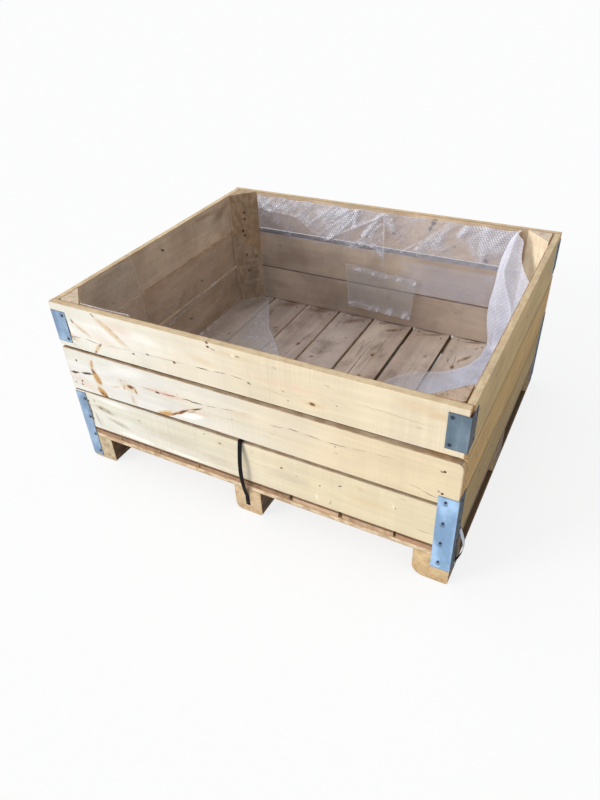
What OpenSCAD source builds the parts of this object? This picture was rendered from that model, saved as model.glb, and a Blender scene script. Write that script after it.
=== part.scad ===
// Nailed timber pallet box: board walls on triangular corner posts, folded corner angles,
// a block base with runners for forks from all four sides, and a loose bubble film liner.
// Millimetres. The box stands on z = 0, its long side lies along X and its front faces -Y.

/* [Box] */
// Length of the box along its front
box_w = 1200; // [1100:10:1400]
// Depth of the box from front to back
box_d = 1000; // [900:10:1200]
// Height of the walls above the deck
wall_h = 441; // [420:1:500]

/* [Wall boards] */
// Thickness of the wall boards
board_t = 20; // [16:1:24]
// Top edge of the bottom front board above the deck: left end, kink and right end
front_bottom_high = [139, 138, 139]; // [134:0.5:140]
// Lower edge of the middle front board
front_middle_low = [142, 150, 148]; // [141:0.5:154]
// Top edge of the middle front board
front_middle_high = [291, 290, 287]; // [284:0.5:293]
// Lower edge of the top front board
front_top_low = [299, 302, 305]; // [295:0.5:308]
// Place of the kink in the edges of the front boards, from the middle of the box
front_kink = -100; // [-300:10:300]
// How far the bottom, middle and top front board stop short of the right wall's face
front_short = [1, 1, 5]; // [0:0.5:8]
// Height of the lower seam of the right wall above the deck: front end, kink and back end
right_low_seam = [159, 125, 118]; // [110:0.5:165]
// Height of the upper seam of the right wall
right_high_seam = [291, 284, 281]; // [275:0.5:300]
// Width of the lower seam of the right wall
right_low_gap = [4.5, 2.5, 2]; // [1.5:0.5:9]
// Width of the upper seam of the right wall
right_high_gap = [1.5, 2, 5]; // [1.5:0.5:9]
// Place of the kink in the seams of the right wall, from the middle of the box
right_kink = 40; // [-100:10:200]
// Heights of the two seams of the back wall above the deck
back_seams = [140, 297]; // [135:0.5:305]
// Heights of the two seams of the left wall above the deck
left_seams = [152, 300]; // [140:0.5:305]
// Widths of the lower and the upper seam of the back wall
back_gaps = [4, 10]; // [2:0.5:12]
// Height of the bark edge along the top of the middle back board, on its inner side
back_wane = 8; // [2:0.5:10]
// Width of the seams of the left wall
left_gap = 7; // [2:0.5:9]
// Radius of the worn corner on the middle front board
worn_corner_r = 16; // [5:1:40]
// Planed edge along every board
arris = 1.2; // [0.5:0.1:2]

/* [Corner posts] */
// Leg of the triangular corner posts
post_leg = 75; // [65:1:90]
// Blunted square corner of the posts
post_blunt = 8; // [4:1:12]
// Gap that the right hand posts leave to the right wall
post_gap = 3; // [0:0.5:5]

/* [Corner angles] */
// Sheet thickness of the angles
sheet_t = 1.5; // [1:0.1:3]
// Leg of the angles
angle_leg = 50; // [40:1:60]
// Front leg of the tall angle at the front left
narrow_leg = 38; // [37:1:50]
// Height of the small angles on the top boards
small_h = 100; // [60:1:110]
// Height of the tall angles that tie the walls to the base
tall_h = 254; // [220:1:270]
// Distance of the tall angles' nails from the corner edge
tall_nail_in = 31; // [24:1:34]
// Distance of the small angles' nails from the corner edge
small_nail_in = 40; // [28:1:42]

/* [Base] */
// Thickness of the deck boards
deck_t = 22; // [18:1:26]
// Thickness of the cross boards
cross_t = 16; // [14:1:22]
// Height of the blocks
block_h = 77; // [70:1:100]
// Length of the blocks along Y, which is the width of the cross boards too
block_l = 95; // [80:1:120]
// Widths of the left, middle and right feet
foot_w = [92, 88, 98]; // [80:1:120]
// Thickness of the runners
runner_t = 16; // [14:1:22]
// Radius of the bark edge along the left of each foot
wane_r = [12, 20, 34]; // [4:1:36]
// Radius of the worn edge along the right of each foot
toe_r = 8; // [2:1:12]

/* [Nails] */
// Radius of the nail shanks
shank_r = 1.6; // [1:0.1:2]
// Radius of the nail heads
head_r = 3.6; // [3:0.1:4.5]
// Thickness of the nail heads
head_t = 1.2; // [0.8:0.1:1.6]

/* [Straps] */
// Width of the black strap
strap_w = 13; // [10:1:20]
// Thickness of the black strap
strap_t = 1; // [0.6:0.1:1.5]
// How far the strap bows out in front of the bottom board
strap_bow = 15; // [8:1:25]
// How far the steel band bows out beside the right front foot
band_bow = 15; // [8:1:20]

/* [Liner] */
// Thickness of the liner film solids
film_t = 1; // [0.6:0.1:2]
// Clearance of the film to the timber
film_gap = 0.5; // [0.3:0.1:2]
// Radius of the bend where the film leaves the deck
film_r = 60; // [40:1:80]

/* [Hidden] */
$fn = 48;
over = 1;

deck_z = runner_t + block_h + cross_t;
floor_z = deck_z + deck_t;
cross_z = runner_t + block_h;
top_z = floor_z + wall_h;

// Edges of the front boards above the deck, at their left end, at the kink and at their right end
front_low = [[0, 0, 0], front_middle_low, front_top_low];
front_high = [front_bottom_high, front_middle_high, [wall_h, wall_h, wall_h]];

// Walls and corners are counted from the front, turning left to right: front, right, back, left,
// and front left, front right, back right, back left. The front has its own edges instead of seams,
// and the right wall has its seams' heights and widths at both ends and at the kink.
seams = [[], [right_low_seam, right_high_seam], back_seams, left_seams];
gaps = [[], [right_low_gap, right_high_gap], back_gaps, [left_gap, left_gap]];
small_z = [447, 454, 450, 450];
tall_z = [10, 52, 34, 34];
post_shift = [[0, 0], [0, post_gap], [post_gap, 0], [0, 0]];
tall_nails = [18, 89, 160, 231];
small_nails = [12, 88];

// Seams between the deck boards, from left to right, and their widths
deck_seams = [-455, -304, -160, -14, 148, 297, 450];
deck_gaps = [6, 5, 7, 9, 11, 12, 7];

foot_x = [-(box_w - foot_w[0]) / 2, 2, (box_w - foot_w[2]) / 2];
block_y = [-(box_d - block_l) / 2, 0, (box_d - block_l) / 2];

wall_nail_l = 45;
clout_l = 20;
deck_nail_l = 36;
foot_nail_l = 60;
wall_nail_in = 42;
post_x = box_w / 2 - board_t;
post_y = box_d / 2 - board_t;

// Height and width of a wall's lower (0) or upper (1) seam at its start (-1), middle (0) or end (1)
function seam_z(side, i, end) = side == 1 ? seams[1][i][end + 1] : seams[side][i];
function seam_w(side, i, end) = side == 1 ? gaps[1][i][end + 1] : gaps[side][i];

// Lower and upper edge of one row of a wall at its start, middle or end, above the floor that the
// box stands on
function row_low(side, row, end = 0) = floor_z
    + (side == 0 ? front_low[row][end + 1]
        : row == 0 ? 0 : seam_z(side, row - 1, end) + seam_w(side, row - 1, end) / 2);
function row_high(side, row, end = 0) = floor_z
    + (side == 0 ? front_high[row][end + 1]
        : row == 2 ? wall_h : seam_z(side, row, end) - seam_w(side, row, end) / 2);
function row_h(side, row, end = 0) = row_high(side, row, end) - row_low(side, row, end);

// Outer length of a wall, and the height of its two nails at each end. They keep clear of the
// nails of the next wall, which cross them in the post, and of those of the small angles. The
// bottom and middle boards of the side walls have theirs at set heights above the deck.
side_nails = [[52, 88], [205, 238]];
function wall_l(side) = side % 2 == 0 ? box_w : box_d;
function nail_z(side, row, k, end) = side % 2 == 1 && row < 2
    ? floor_z + side_nails[row][k]
    : let(share = side % 2 == 1 ? 0.35 : row == 2 ? 0.43 : 0.25)
        row_low(side, row, end) + row_h(side, row, end) * (share + (1 - 2 * share) * k);

// Corner at one end of a wall
function corner_of(side, end) = end < 0 ? side : (side + 1) % 4;

// Nails in both angles of a corner, as [distance from the corner edge, height]. The leg on the
// corner's own wall is leg 0.
function angle_nail_at(corner, leg) = concat(
    [for (z = tall_nails) [tall_nail_in, tall_z[corner] + z + 8 * leg]],
    [for (z = small_nails) [small_nail_in, small_z[corner] + z]]);

// Left and right edge of one deck board
function deck_left(i) = i == 0 ? -box_w / 2 : deck_seams[i - 1] + deck_gaps[i - 1] / 2;
function deck_right(i) = i == 7 ? box_w / 2 : deck_seams[i] - deck_gaps[i] / 2;

// Outline of a strip of the given thickness that follows a line of points
function turn(p, i) = let(
    a = p[max(i - 1, 0)],
    b = p[min(i + 1, len(p) - 1)],
    d = b - a) [-d[1], d[0]] / norm(d);
function strip(p, t) = concat(
    [for (i = [0 : len(p) - 1]) p[i] + turn(p, i) * t / 2],
    [for (i = [len(p) - 1 : -1 : 0]) p[i] - turn(p, i) * t / 2]);

// Places the wall frame: its outer face lies in y = 0 and the timber behind it, towards +Y
module on_wall(side) {
    rotate(90 * side)
        translate([0, -wall_l(side + 1) / 2, 0])
            children();
}

// Places the corner frame: the outer corner edge is the Z axis and the timber fills +X and +Y
module at_corner(corner) {
    sx = corner == 0 || corner == 3 ? -1 : 1;
    sy = corner < 2 ? -1 : 1;
    translate([sx * box_w / 2, sy * box_d / 2, 0])
        rotate(90 * corner)
            children();
}

// Outline of a board end that fills +X and +Y. A bark edge takes more off the far corner than the
// planed edge does.
module board_end(width, height, wane = 0) {
    a = arris;
    down = max(wane, a);
    across = max(1.5 * wane, a);
    polygon([
        [a, 0], [width - a, 0], [width, a], [width, height - down],
        [width - across, height], [a, height], [0, height - a], [0, a]
    ]);
}

// Sawn board along X with its long edges planed off
module board(length, width, thick, wane = 0) {
    rotate([90, 0, 90])
        linear_extrude(length)
            board_end(thick, width, wane);
}

// Sawn board whose edges run through other heights from section to section. Each section is
// given as [place along X, lower edge, upper edge].
module crooked_board(sections, thick) {
    a = arris;
    n = 8;
    last = len(sections) - 1;
    polyhedron(
        points = [for (s = sections, p = [
            [a, s[1]], [thick - a, s[1]], [thick, s[1] + a], [thick, s[2] - a],
            [thick - a, s[2]], [a, s[2]], [0, s[2] - a], [0, s[1] + a]
        ]) [s[0], p[0], p[1]]],
        faces = concat(
            [[for (k = [n - 1 : -1 : 0]) k]],
            [for (i = [0 : last - 1], k = [0 : n - 1])
                [i * n + k, i * n + (k + 1) % n, (i + 1) * n + (k + 1) % n, (i + 1) * n + k]],
            [[for (k = [0 : n - 1]) last * n + k]]));
}

// Nail along Z with the top of its head at the origin
module nail(length) {
    translate([0, 0, -length])
        cylinder(h = length, r = shank_r);
    translate([0, 0, -head_t])
        cylinder(h = head_t, r = head_r);
}

// Nail along +Y that is driven in from the outside, its head flush with y = 0
module driven_nail(length) {
    rotate([90, 0, 0])
        nail(length);
}

// Nail whose head stays on top of a sheet of the given thickness
module clout(sheet = sheet_t) {
    translate([0, -sheet - head_t, 0])
        driven_nail(clout_l);
}

// Removes what lies outside a rounded corner. The timber is on the -X and -Z side.
module corner_cutter(r, thick) {
    difference() {
        translate([-r, -over, -r])
            cube([r + over, thick + 2 * over, r + over]);
        translate([-r, -2 * over, -r])
            rotate([-90, 0, 0])
                cylinder(h = thick + 4 * over, r = r);
    }
}

// Nails of one end of a wall board
module board_end_nails(side, row, end) {
    corner = corner_of(side, end);
    leg = end < 0 ? 0 : 1;
    for (k = [0, 1])
        translate([end * (wall_l(side) / 2 - wall_nail_in), 0, nail_z(side, row, k, end)])
            driven_nail(wall_nail_l);
    for (at = angle_nail_at(corner, leg))
        if (at[1] > row_low(side, row, end) && at[1] < row_high(side, row, end))
            translate([end * (wall_l(side) / 2 - at[0]), 0, at[1]])
                clout();
}

module front_board(row) {
    right = box_w / 2 - front_short[row];
    color("Wheat")
        on_wall(0)
            difference() {
                crooked_board([
                    for (end = [-1 : 1])
                        [[-box_w / 2, front_kink, right][end + 1],
                            row_low(0, row, end), row_high(0, row, end)]
                ], board_t);
                board_end_nails(0, row, -1);
                board_end_nails(0, row, 1);
                if (row == 1)
                    translate([right, 0, row_high(0, row, 1)])
                        corner_cutter(worn_corner_r, board_t);
            }
}

module wall_board(side, row) {
    half = wall_l(side) / 2 - (side % 2 == 0 ? 0 : board_t);
    color(side == 2 ? "Wheat" : "BurlyWood")
        on_wall(side)
            difference() {
                if (side == 1)
                    crooked_board([
                        for (end = [-1 : 1])
                            [[-half, right_kink, half][end + 1],
                                row_low(side, row, end), row_high(side, row, end)]
                    ], board_t);
                else
                    translate([-half, 0, row_low(side, row)])
                        board(2 * half, row_h(side, row), board_t,
                            side == 2 && row == 1 ? back_wane : 0);
                board_end_nails(side, row, -1);
                board_end_nails(side, row, 1);
            }
}

module post(corner) {
    b = post_blunt;
    side_a = corner;
    side_b = (corner + 3) % 4;
    color("Tan")
        at_corner(corner)
            difference() {
                translate([board_t + post_shift[corner][0], board_t + post_shift[corner][1], floor_z])
                    linear_extrude(wall_h)
                        polygon([[b, 0], [post_leg, 0], [0, post_leg], [0, b]]);
                for (row = [0 : 2], k = [0, 1]) {
                    translate([wall_nail_in, 0, nail_z(side_a, row, k, -1)])
                        driven_nail(wall_nail_l);
                    translate([0, wall_nail_in, nail_z(side_b, row, k, 1)])
                        rotate(-90)
                            driven_nail(wall_nail_l);
                }
            }
}

// Folded sheet angle with a round bend, its inner faces on the timber, and the leg on the corner's
// own wall given. It takes the nails of its corner whose heights lie on it.
module angle(corner, low, height, own_leg = angle_leg) {
    color("LightSteelBlue")
        at_corner(corner)
            difference() {
                translate([0, 0, low])
                    linear_extrude(height) {
                        translate([0, -sheet_t])
                            square([own_leg, sheet_t]);
                        translate([-sheet_t, 0])
                            square([sheet_t, angle_leg]);
                        intersection() {
                            circle(r = sheet_t);
                            translate([-sheet_t, -sheet_t])
                                square(sheet_t);
                        }
                    }
                for (at = angle_nail_at(corner, 0))
                    if (at[1] > low && at[1] < low + height)
                        translate([at[0], 0, at[1]])
                            clout();
                for (at = angle_nail_at(corner, 1))
                    if (at[1] > low && at[1] < low + height)
                        translate([0, at[0], at[1]])
                            rotate(-90)
                                clout();
            }
}

module deck_board(i) {
    color("Peru")
        difference() {
            translate([deck_left(i), box_d / 2, deck_z])
                rotate([90, 0, 0])
                    linear_extrude(box_d)
                        board_end(deck_right(i) - deck_left(i), deck_t);
            for (j = [0 : 2])
                deck_board_nails(i, j);
        }
}

// The two staggered nails of deck board i over cross board j
module deck_board_nails(i, j) {
    middle = (deck_left(i) + deck_right(i)) / 2;
    for (s = [-1, 1])
        translate([middle + 45 * s, block_y[j] - 8 * s, floor_z])
            nail(deck_nail_l);
}

// The four nails of one block: two up through the runner, two down through the cross board
module block_nails(i, j) {
    for (s = [-1, 1]) {
        translate([foot_x[i] + 20 * s, block_y[j] + 20 * s, 0])
            rotate([180, 0, 0])
                nail(foot_nail_l);
        translate([foot_x[i] + 20 * s, block_y[j] - 20 * s, deck_z])
            nail(foot_nail_l);
    }
}

// Clout nails of the tall angles that go into the base below the walls
module base_clouts() {
    for (corner = [0 : 3])
        at_corner(corner) {
            for (at = angle_nail_at(corner, 0))
                if (at[1] < floor_z)
                    translate([at[0], 0, at[1]])
                        clout();
            for (at = angle_nail_at(corner, 1))
                if (at[1] < floor_z)
                    translate([0, at[0], at[1]])
                        rotate(-90)
                            clout();
        }
}

module cross_board(j) {
    color("NavajoWhite")
        difference() {
            translate([-box_w / 2, block_y[j] - block_l / 2, cross_z])
                cube([box_w, block_l, cross_t]);
            for (i = [0 : 7])
                deck_board_nails(i, j);
            for (i = [0 : 2])
                block_nails(i, j);
            if (j != 1)
                base_clouts();
        }
}

// Bark edge along the lower left of foot i
module wane_cutter(i, length) {
    translate([foot_x[i] - foot_w[i] / 2, -box_d / 2, 0])
        mirror([0, 0, 1])
            mirror([1, 0, 0])
                corner_cutter(wane_r[i], length);
}

module block(i, j) {
    color("BurlyWood")
        difference() {
            translate([foot_x[i] - foot_w[i] / 2, block_y[j] - block_l / 2, runner_t])
                cube([foot_w[i], block_l, block_h]);
            block_nails(i, j);
            if (j == 0)
                wane_cutter(i, block_l);
            if (i != 1 && j != 1)
                base_clouts();
            if (i == 1 && j == 0)
                strap_clout();
        }
}

module runner(i) {
    color("BurlyWood")
        difference() {
            translate([foot_x[i] - foot_w[i] / 2, -box_d / 2, 0])
                cube([foot_w[i], box_d, runner_t]);
            wane_cutter(i, box_d);
            translate([foot_x[i] + foot_w[i] / 2, -box_d / 2, 0])
                mirror([0, 0, 1])
                    corner_cutter(toe_r, box_d);
            for (j = [0 : 2])
                block_nails(i, j);
            if (i != 1)
                base_clouts();
        }
}

module wall_nails() {
    color("DimGray")
        for (side = [0 : 3], row = [0 : 2], end = [-1, 1], k = [0, 1])
            on_wall(side)
                translate([end * (wall_l(side) / 2 - wall_nail_in), 0, nail_z(side, row, k, end)])
                    driven_nail(wall_nail_l);
}

module angle_nails() {
    color("DimGray") {
        for (corner = [0 : 3])
            at_corner(corner) {
                for (at = angle_nail_at(corner, 0))
                    translate([at[0], 0, at[1]])
                        clout();
                for (at = angle_nail_at(corner, 1))
                    translate([0, at[0], at[1]])
                        rotate(-90)
                            clout();
            }
        strap_clout();
        band_clouts();
    }
}

module deck_nails() {
    color("DimGray")
        for (i = [0 : 7], j = [0 : 2])
            deck_board_nails(i, j);
}

module foot_nails() {
    color("DimGray")
        for (i = [0 : 2], j = [0 : 2])
            block_nails(i, j);
}

// The strap comes out of the lower seam, bows over the bottom board and ends on the middle foot.
// Its line is given in a plane of depth in front of the wall and height.
strap_high = row_high(0, 0) - 2;
strap_low = 62;
strap_end = 28;
strap_line = concat(
    [[-board_t, row_high(0, 0) + 5], [1, row_high(0, 0) + 5], [3, row_high(0, 0) + 3.5]],
    [for (s = [0 : 1 / 14 : 1])
        [4 * (1 - s) + strap_t / 2 * s + strap_bow * sin(180 * s),
            strap_high + (strap_low - strap_high) * s]],
    [[strap_t / 2, strap_low - 6], [strap_t / 2, strap_end]]);

module front_strap() {
    color("Black")
        difference() {
            translate([-strap_w / 2, -box_d / 2, 0])
                rotate([90, 0, 90])
                    linear_extrude(strap_w)
                        mirror([1, 0])
                            polygon(strip(strap_line, strap_t));
            strap_clout();
        }
}

module strap_clout() {
    translate([0, -box_d / 2, strap_end + 12])
        clout(strap_t);
}

// The steel band bows out between the right wall and the right front foot, behind the tall angle
band_y = -448;
band_w = 16;
band_high = 150;
band_low = 34;
band_line = concat(
    [[strap_t / 2, band_high + 14]],
    [for (s = [0 : 1 / 10 : 1])
        [strap_t / 2 + band_bow * sin(180 * s), band_high + (band_low - band_high) * s]],
    [[strap_t / 2, band_low - 12]]);

module side_band() {
    color("LightSteelBlue")
        difference() {
            translate([box_w / 2, band_y + band_w, 0])
                rotate([90, 0, 0])
                    linear_extrude(band_w)
                        polygon(strip(band_line, strap_t));
            band_clouts();
        }
}

module band_clouts() {
    for (z = [band_high + 8, band_low - 6])
        translate([box_w / 2, band_y + band_w / 2, z])
            rotate(90)
                clout(strap_t);
}

// Film on the back wall, between the two posts
module liner_back() {
    left = -post_x + post_leg + 5;
    right = post_x - post_leg - 35;
    color("Lavender", 0.5)
        translate([left, post_y - film_gap - film_t, floor_z + 4])
            cube([right - left, film_t, wall_h - 10]);
}

// Film down the left wall that bends onto the deck, in a plane of distance from the wall and height
left_low = floor_z + film_gap + film_t / 2;
left_line = concat(
    [[film_gap + film_t / 2, floor_z + wall_h - 24]],
    [for (a = [0 : 15 : 90])
        [film_gap + film_t / 2 + film_r * (1 - cos(a)), left_low + film_r * (1 - sin(a))]],
    [[230, left_low]]);

module liner_left() {
    front = -post_y + post_leg + 4;
    back = post_y - post_leg - 4;
    color("Lavender", 0.5)
        translate([-post_x, back, 0])
            rotate([90, 0, 0])
                linear_extrude(back - front)
                    polygon(strip(left_line, film_t));
}

// Film that hangs across the back right corner and spreads over the deck to the front right
corner_line = concat(
    [[post_x - post_leg - 22, post_y - 4]],
    [for (a = [0 : 15 : 90])
        [post_x - 84 + 80 * sin(a), post_y - 88 - 40 * (1 - cos(a)) * 1.5]]);

module liner_right() {
    low = floor_z + film_gap;
    color("Lavender", 0.5) {
        translate([0, 0, low])
            linear_extrude(wall_h - 40)
                polygon(strip(corner_line, film_t));
        translate([0, 0, low])
            linear_extrude(film_t)
                polygon([
                    [430, 385], [405, 345], [350, 256], [303, 215],
                    [295, -post_y + 6], [490, -post_y + 6], [post_x - 6, -post_y + 88],
                    [post_x - 6, 330], [520, 375]
                ]);
    }
}

// Clear patch taped over the film on the back wall
module liner_patch() {
    color("AliceBlue", 0.6)
        translate([-122, post_y - 2 * film_gap - 2 * film_t, floor_z + 48])
            cube([268, film_t, 168]);
}

front_board(0);  // front_board_bottom
front_board(1);  // front_board_middle
front_board(2);  // front_board_top
wall_board(1, 0);  // right_board_bottom
wall_board(1, 1);  // right_board_middle
wall_board(1, 2);  // right_board_top
wall_board(2, 0);  // back_board_bottom
wall_board(2, 1);  // back_board_middle
wall_board(2, 2);  // back_board_top
wall_board(3, 0);  // left_board_bottom
wall_board(3, 1);  // left_board_middle
wall_board(3, 2);  // left_board_top
post(0);  // post_front_left
post(1);  // post_front_right
post(2);  // post_back_right
post(3);  // post_back_left
angle(0, small_z[0], small_h);  // small_angle_front_left
angle(1, small_z[1], small_h);  // small_angle_front_right
angle(2, small_z[2], small_h);  // small_angle_back_right
angle(3, small_z[3], small_h);  // small_angle_back_left
angle(0, tall_z[0], tall_h, narrow_leg);  // tall_angle_front_left
angle(1, tall_z[1], tall_h);  // tall_angle_front_right
angle(2, tall_z[2], tall_h);  // tall_angle_back_right
angle(3, tall_z[3], tall_h);  // tall_angle_back_left
deck_board(0);  // deck_board_1
deck_board(1);  // deck_board_2
deck_board(2);  // deck_board_3
deck_board(3);  // deck_board_4
deck_board(4);  // deck_board_5
deck_board(5);  // deck_board_6
deck_board(6);  // deck_board_7
deck_board(7);  // deck_board_8
cross_board(0);  // cross_board_front
cross_board(1);  // cross_board_middle
cross_board(2);  // cross_board_back
block(0, 0);  // block_front_left
block(1, 0);  // block_front_middle
block(2, 0);  // block_front_right
block(0, 1);  // block_centre_left
block(1, 1);  // block_centre_middle
block(2, 1);  // block_centre_right
block(0, 2);  // block_back_left
block(1, 2);  // block_back_middle
block(2, 2);  // block_back_right
runner(0);  // runner_left
runner(1);  // runner_middle
runner(2);  // runner_right
wall_nails();
angle_nails();
deck_nails();
foot_nails();
front_strap();
side_band();
liner_back();
liner_left();
liner_right();
liner_patch();
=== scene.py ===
"""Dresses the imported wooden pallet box: camera, studio, procedural timber and zinc, and bubble film."""

import functools
import math

import bpy
import numpy as np
from mathutils import Matrix, Vector


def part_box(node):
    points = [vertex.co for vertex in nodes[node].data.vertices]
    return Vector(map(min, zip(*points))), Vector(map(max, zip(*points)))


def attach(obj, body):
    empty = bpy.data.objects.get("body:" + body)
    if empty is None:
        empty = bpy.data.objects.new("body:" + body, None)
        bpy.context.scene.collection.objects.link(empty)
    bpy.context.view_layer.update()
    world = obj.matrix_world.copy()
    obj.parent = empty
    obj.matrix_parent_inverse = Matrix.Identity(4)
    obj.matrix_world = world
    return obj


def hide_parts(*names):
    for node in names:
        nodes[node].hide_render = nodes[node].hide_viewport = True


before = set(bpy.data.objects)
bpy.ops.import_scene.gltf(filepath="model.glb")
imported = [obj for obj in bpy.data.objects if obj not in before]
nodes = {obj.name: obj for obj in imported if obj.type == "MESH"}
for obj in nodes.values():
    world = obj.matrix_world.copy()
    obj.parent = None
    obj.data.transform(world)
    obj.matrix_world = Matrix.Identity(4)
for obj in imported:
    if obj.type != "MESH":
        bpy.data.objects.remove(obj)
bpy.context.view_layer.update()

# Camera and studio

camera_data = bpy.data.cameras.new("photo_camera")
camera_data.sensor_width = 36
camera_data.lens = 28.88
camera_data.shift_x = 0.00495
camera_data.shift_y = 0.0005
camera = bpy.data.objects.new("photo_camera", camera_data)
bpy.context.scene.collection.objects.link(camera)
right = Vector((0.88193071, 0.46908681, -0.04643047))
up = Vector((-0.25007611, 0.54910184, 0.79746417))
back = Vector((0.39957498, -0.69169699, 0.60157718))
place = Vector((0.7998, -1.5706, 1.3990))
camera.matrix_world = Matrix((
    (right.x, up.x, back.x, place.x),
    (right.y, up.y, back.y, place.y),
    (right.z, up.z, back.z, place.z),
    (0, 0, 0, 1),
))
bpy.context.scene.camera = camera
bpy.context.scene.view_settings.view_transform = "Standard"


def rgb(code):
    """Linear colour of an sRGB one written as a hex number."""
    def linear(c):
        c /= 255
        return c / 12.92 if c <= 0.04045 else ((c + 0.055) / 1.055) ** 2.4
    return (linear(code >> 16), linear(code >> 8 & 255), linear(code & 255), 1)


def pair(light, dark):
    """The two tones that a noise mixes."""
    return rgb(light), rgb(dark)


class Kit:
    """Short ways to add and join the nodes of one material, or of the world."""

    def __init__(self, name, world=False):
        self.mat = bpy.data.worlds.new(name) if world else bpy.data.materials.new(name)
        self.mat.use_nodes = True
        self.tree = self.mat.node_tree
        self.tree.nodes.clear()
        self.out = self.add("ShaderNodeOutputWorld" if world else "ShaderNodeOutputMaterial")

    def add(self, kind, **props):
        n = self.tree.nodes.new(kind)
        for key, value in props.items():
            setattr(n, key, value)
        return n

    def put(self, socket, value):
        if isinstance(value, bpy.types.NodeSocket):
            self.tree.links.new(value, socket)
        elif value is not None:
            socket.default_value = value

    def fill(self, n, values):
        """Sets or links the first inputs of a node and returns it."""
        for socket, value in zip(n.inputs, values):
            self.put(socket, value)
        return n

    def math(self, op, *values, clamp=False):
        return self.fill(self.add("ShaderNodeMath", operation=op, use_clamp=clamp), values).outputs[0]

    def mul(self, a, b):
        return self.math("MULTIPLY", a, b)

    def plus(self, a, b):
        return self.math("ADD", a, b)

    def minus(self, a, b):
        return self.math("SUBTRACT", a, b)

    def most(self, values):
        """The largest of some values."""
        return functools.reduce(lambda a, b: self.math("MAXIMUM", a, b), values)

    def vec(self, op, a, b=None, c=None, scale=None):
        n = self.fill(self.add("ShaderNodeVectorMath", operation=op), (a, b, c))
        if scale is not None:
            self.put(n.inputs["Scale"], scale)
        return n.outputs["Value" if op in ("LENGTH", "DOT_PRODUCT") else "Vector"]

    def split(self, v):
        return self.fill(self.add("ShaderNodeSeparateXYZ"), (v,)).outputs

    def join(self, x, y, z):
        return self.fill(self.add("ShaderNodeCombineXYZ"), (x, y, z)).outputs[0]

    def noise(self, v, scale=1, detail=2, rough=0.5, colour=False):
        n = self.add("ShaderNodeTexNoise")
        self.put(n.inputs["Vector"], v)
        n.inputs["Scale"].default_value = scale
        n.inputs["Detail"].default_value = detail
        n.inputs["Roughness"].default_value = rough
        return n.outputs["Color" if colour else "Fac"]

    def drawn(self, v, by, detail=2, rough=0.5, colour=False):
        """Noise with its own pitch along each axis."""
        return self.noise(self.vec("MULTIPLY", v, by), 1, detail, rough, colour)

    def step(self, x, lo, hi, out_lo=0, out_hi=1, smooth=True):
        n = self.add("ShaderNodeMapRange", interpolation_type="SMOOTHSTEP" if smooth else "LINEAR")
        return self.fill(n, (x, lo, hi, out_lo, out_hi)).outputs[0]

    def mix(self, f, a, b, mode="MIX"):
        n = self.add("ShaderNodeMix", data_type="RGBA", blend_type=mode)
        self.put(n.inputs["Factor"], f)
        self.put(n.inputs["A"], a)
        self.put(n.inputs["B"], b)
        return n.outputs["Result"]

    def lit(self, colour, light):
        """A colour times a grey."""
        grey = self.fill(self.add("ShaderNodeCombineColor"), (light, light, light)).outputs[0]
        return self.mix(1, colour, grey, "MULTIPLY")

    def bump(self, height, distance, strength=1):
        n = self.add("ShaderNodeBump")
        n.inputs["Strength"].default_value = strength
        n.inputs["Distance"].default_value = distance
        self.put(n.inputs["Height"], height)
        return n.outputs[0]

    def shader(self, kind, **inputs):
        n = self.add("ShaderNode" + kind)
        for key, value in inputs.items():
            self.put(n.inputs[key.replace("_", " ")], value)
        return n.outputs[0]

    def show(self, shader):
        self.put(self.out.inputs["Surface"], shader)

    def principled(self, **inputs):
        self.show(self.shader("BsdfPrincipled", **inputs))

    def show_mixed(self, f, a, b):
        self.show(self.fill(self.add("ShaderNodeMixShader"), (f, a, b)).outputs[0])

    def seen(self):
        """1 for rays that see a surface straight, in a gloss or through film."""
        rays = self.add("ShaderNodeLightPath").outputs
        return self.most([rays["Is Camera Ray"], rays["Is Glossy Ray"], rays["Is Transmission Ray"]])

    def place(self):
        return self.add("ShaderNodeTexCoord").outputs["Object"]

    def facing(self):
        return self.add("ShaderNodeNewGeometry").outputs["Normal"]


k = Kit("studio", world=True)
bpy.context.scene.world = k.mat
k.show_mixed(k.seen(), k.shader("Background", Color=(0.93, 0.96, 1, 1), Strength=0.55),
             k.shader("Background", Color=(1, 1, 1, 1), Strength=1))


def sun(name, aim, energy, colour, spread):
    """A soft sun that shines along aim, its spread in degrees."""
    data = bpy.data.lights.new(name, "SUN")
    data.energy = energy
    data.color = colour
    data.angle = math.radians(spread)
    obj = bpy.data.objects.new(name, data)
    obj.rotation_euler = Vector(aim).to_track_quat("-Z", "Y").to_euler()
    bpy.context.scene.collection.objects.link(obj)


sun("door_light", (0.66, 0.66, -0.30), 2, (1, 0.98, 0.94), 24)
sun("roof_light", (0.25, 0.15, -1), 0.7, (0.95, 0.97, 1), 60)

far = 60
floor_mesh = bpy.data.meshes.new("studio_floor")
floor_mesh.from_pydata([(-far, -far, 0), (far, -far, 0), (far, far, 0), (-far, far, 0)], [], [(0, 1, 2, 3)])
floor = bpy.data.objects.new("studio_floor", floor_mesh)
bpy.context.scene.collection.objects.link(floor)
k = Kit("studio_floor")
# the floor glows white round the box; under it, and a little behind it, the glow is turned down to a painted
# shade, which shows through the deck's seams
shade_middle, shade_x, shade_y = (0, 0.24, 0), 0.52, 0.56
spot = k.split(k.vec("ABSOLUTE", k.vec("SUBTRACT", k.place(), shade_middle)))
outside = k.math("MAXIMUM", k.minus(spot[0], shade_x), k.minus(spot[1], shade_y))
k.show_mixed(k.mul(k.seen(), k.step(outside, -0.05, 0.05, 0.16, 0.80)),
             k.shader("BsdfDiffuse", Color=(0.95, 0.95, 0.95, 1)), k.shader("Emission"))
floor_mesh.materials.append(k.mat)

# Timber

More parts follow.
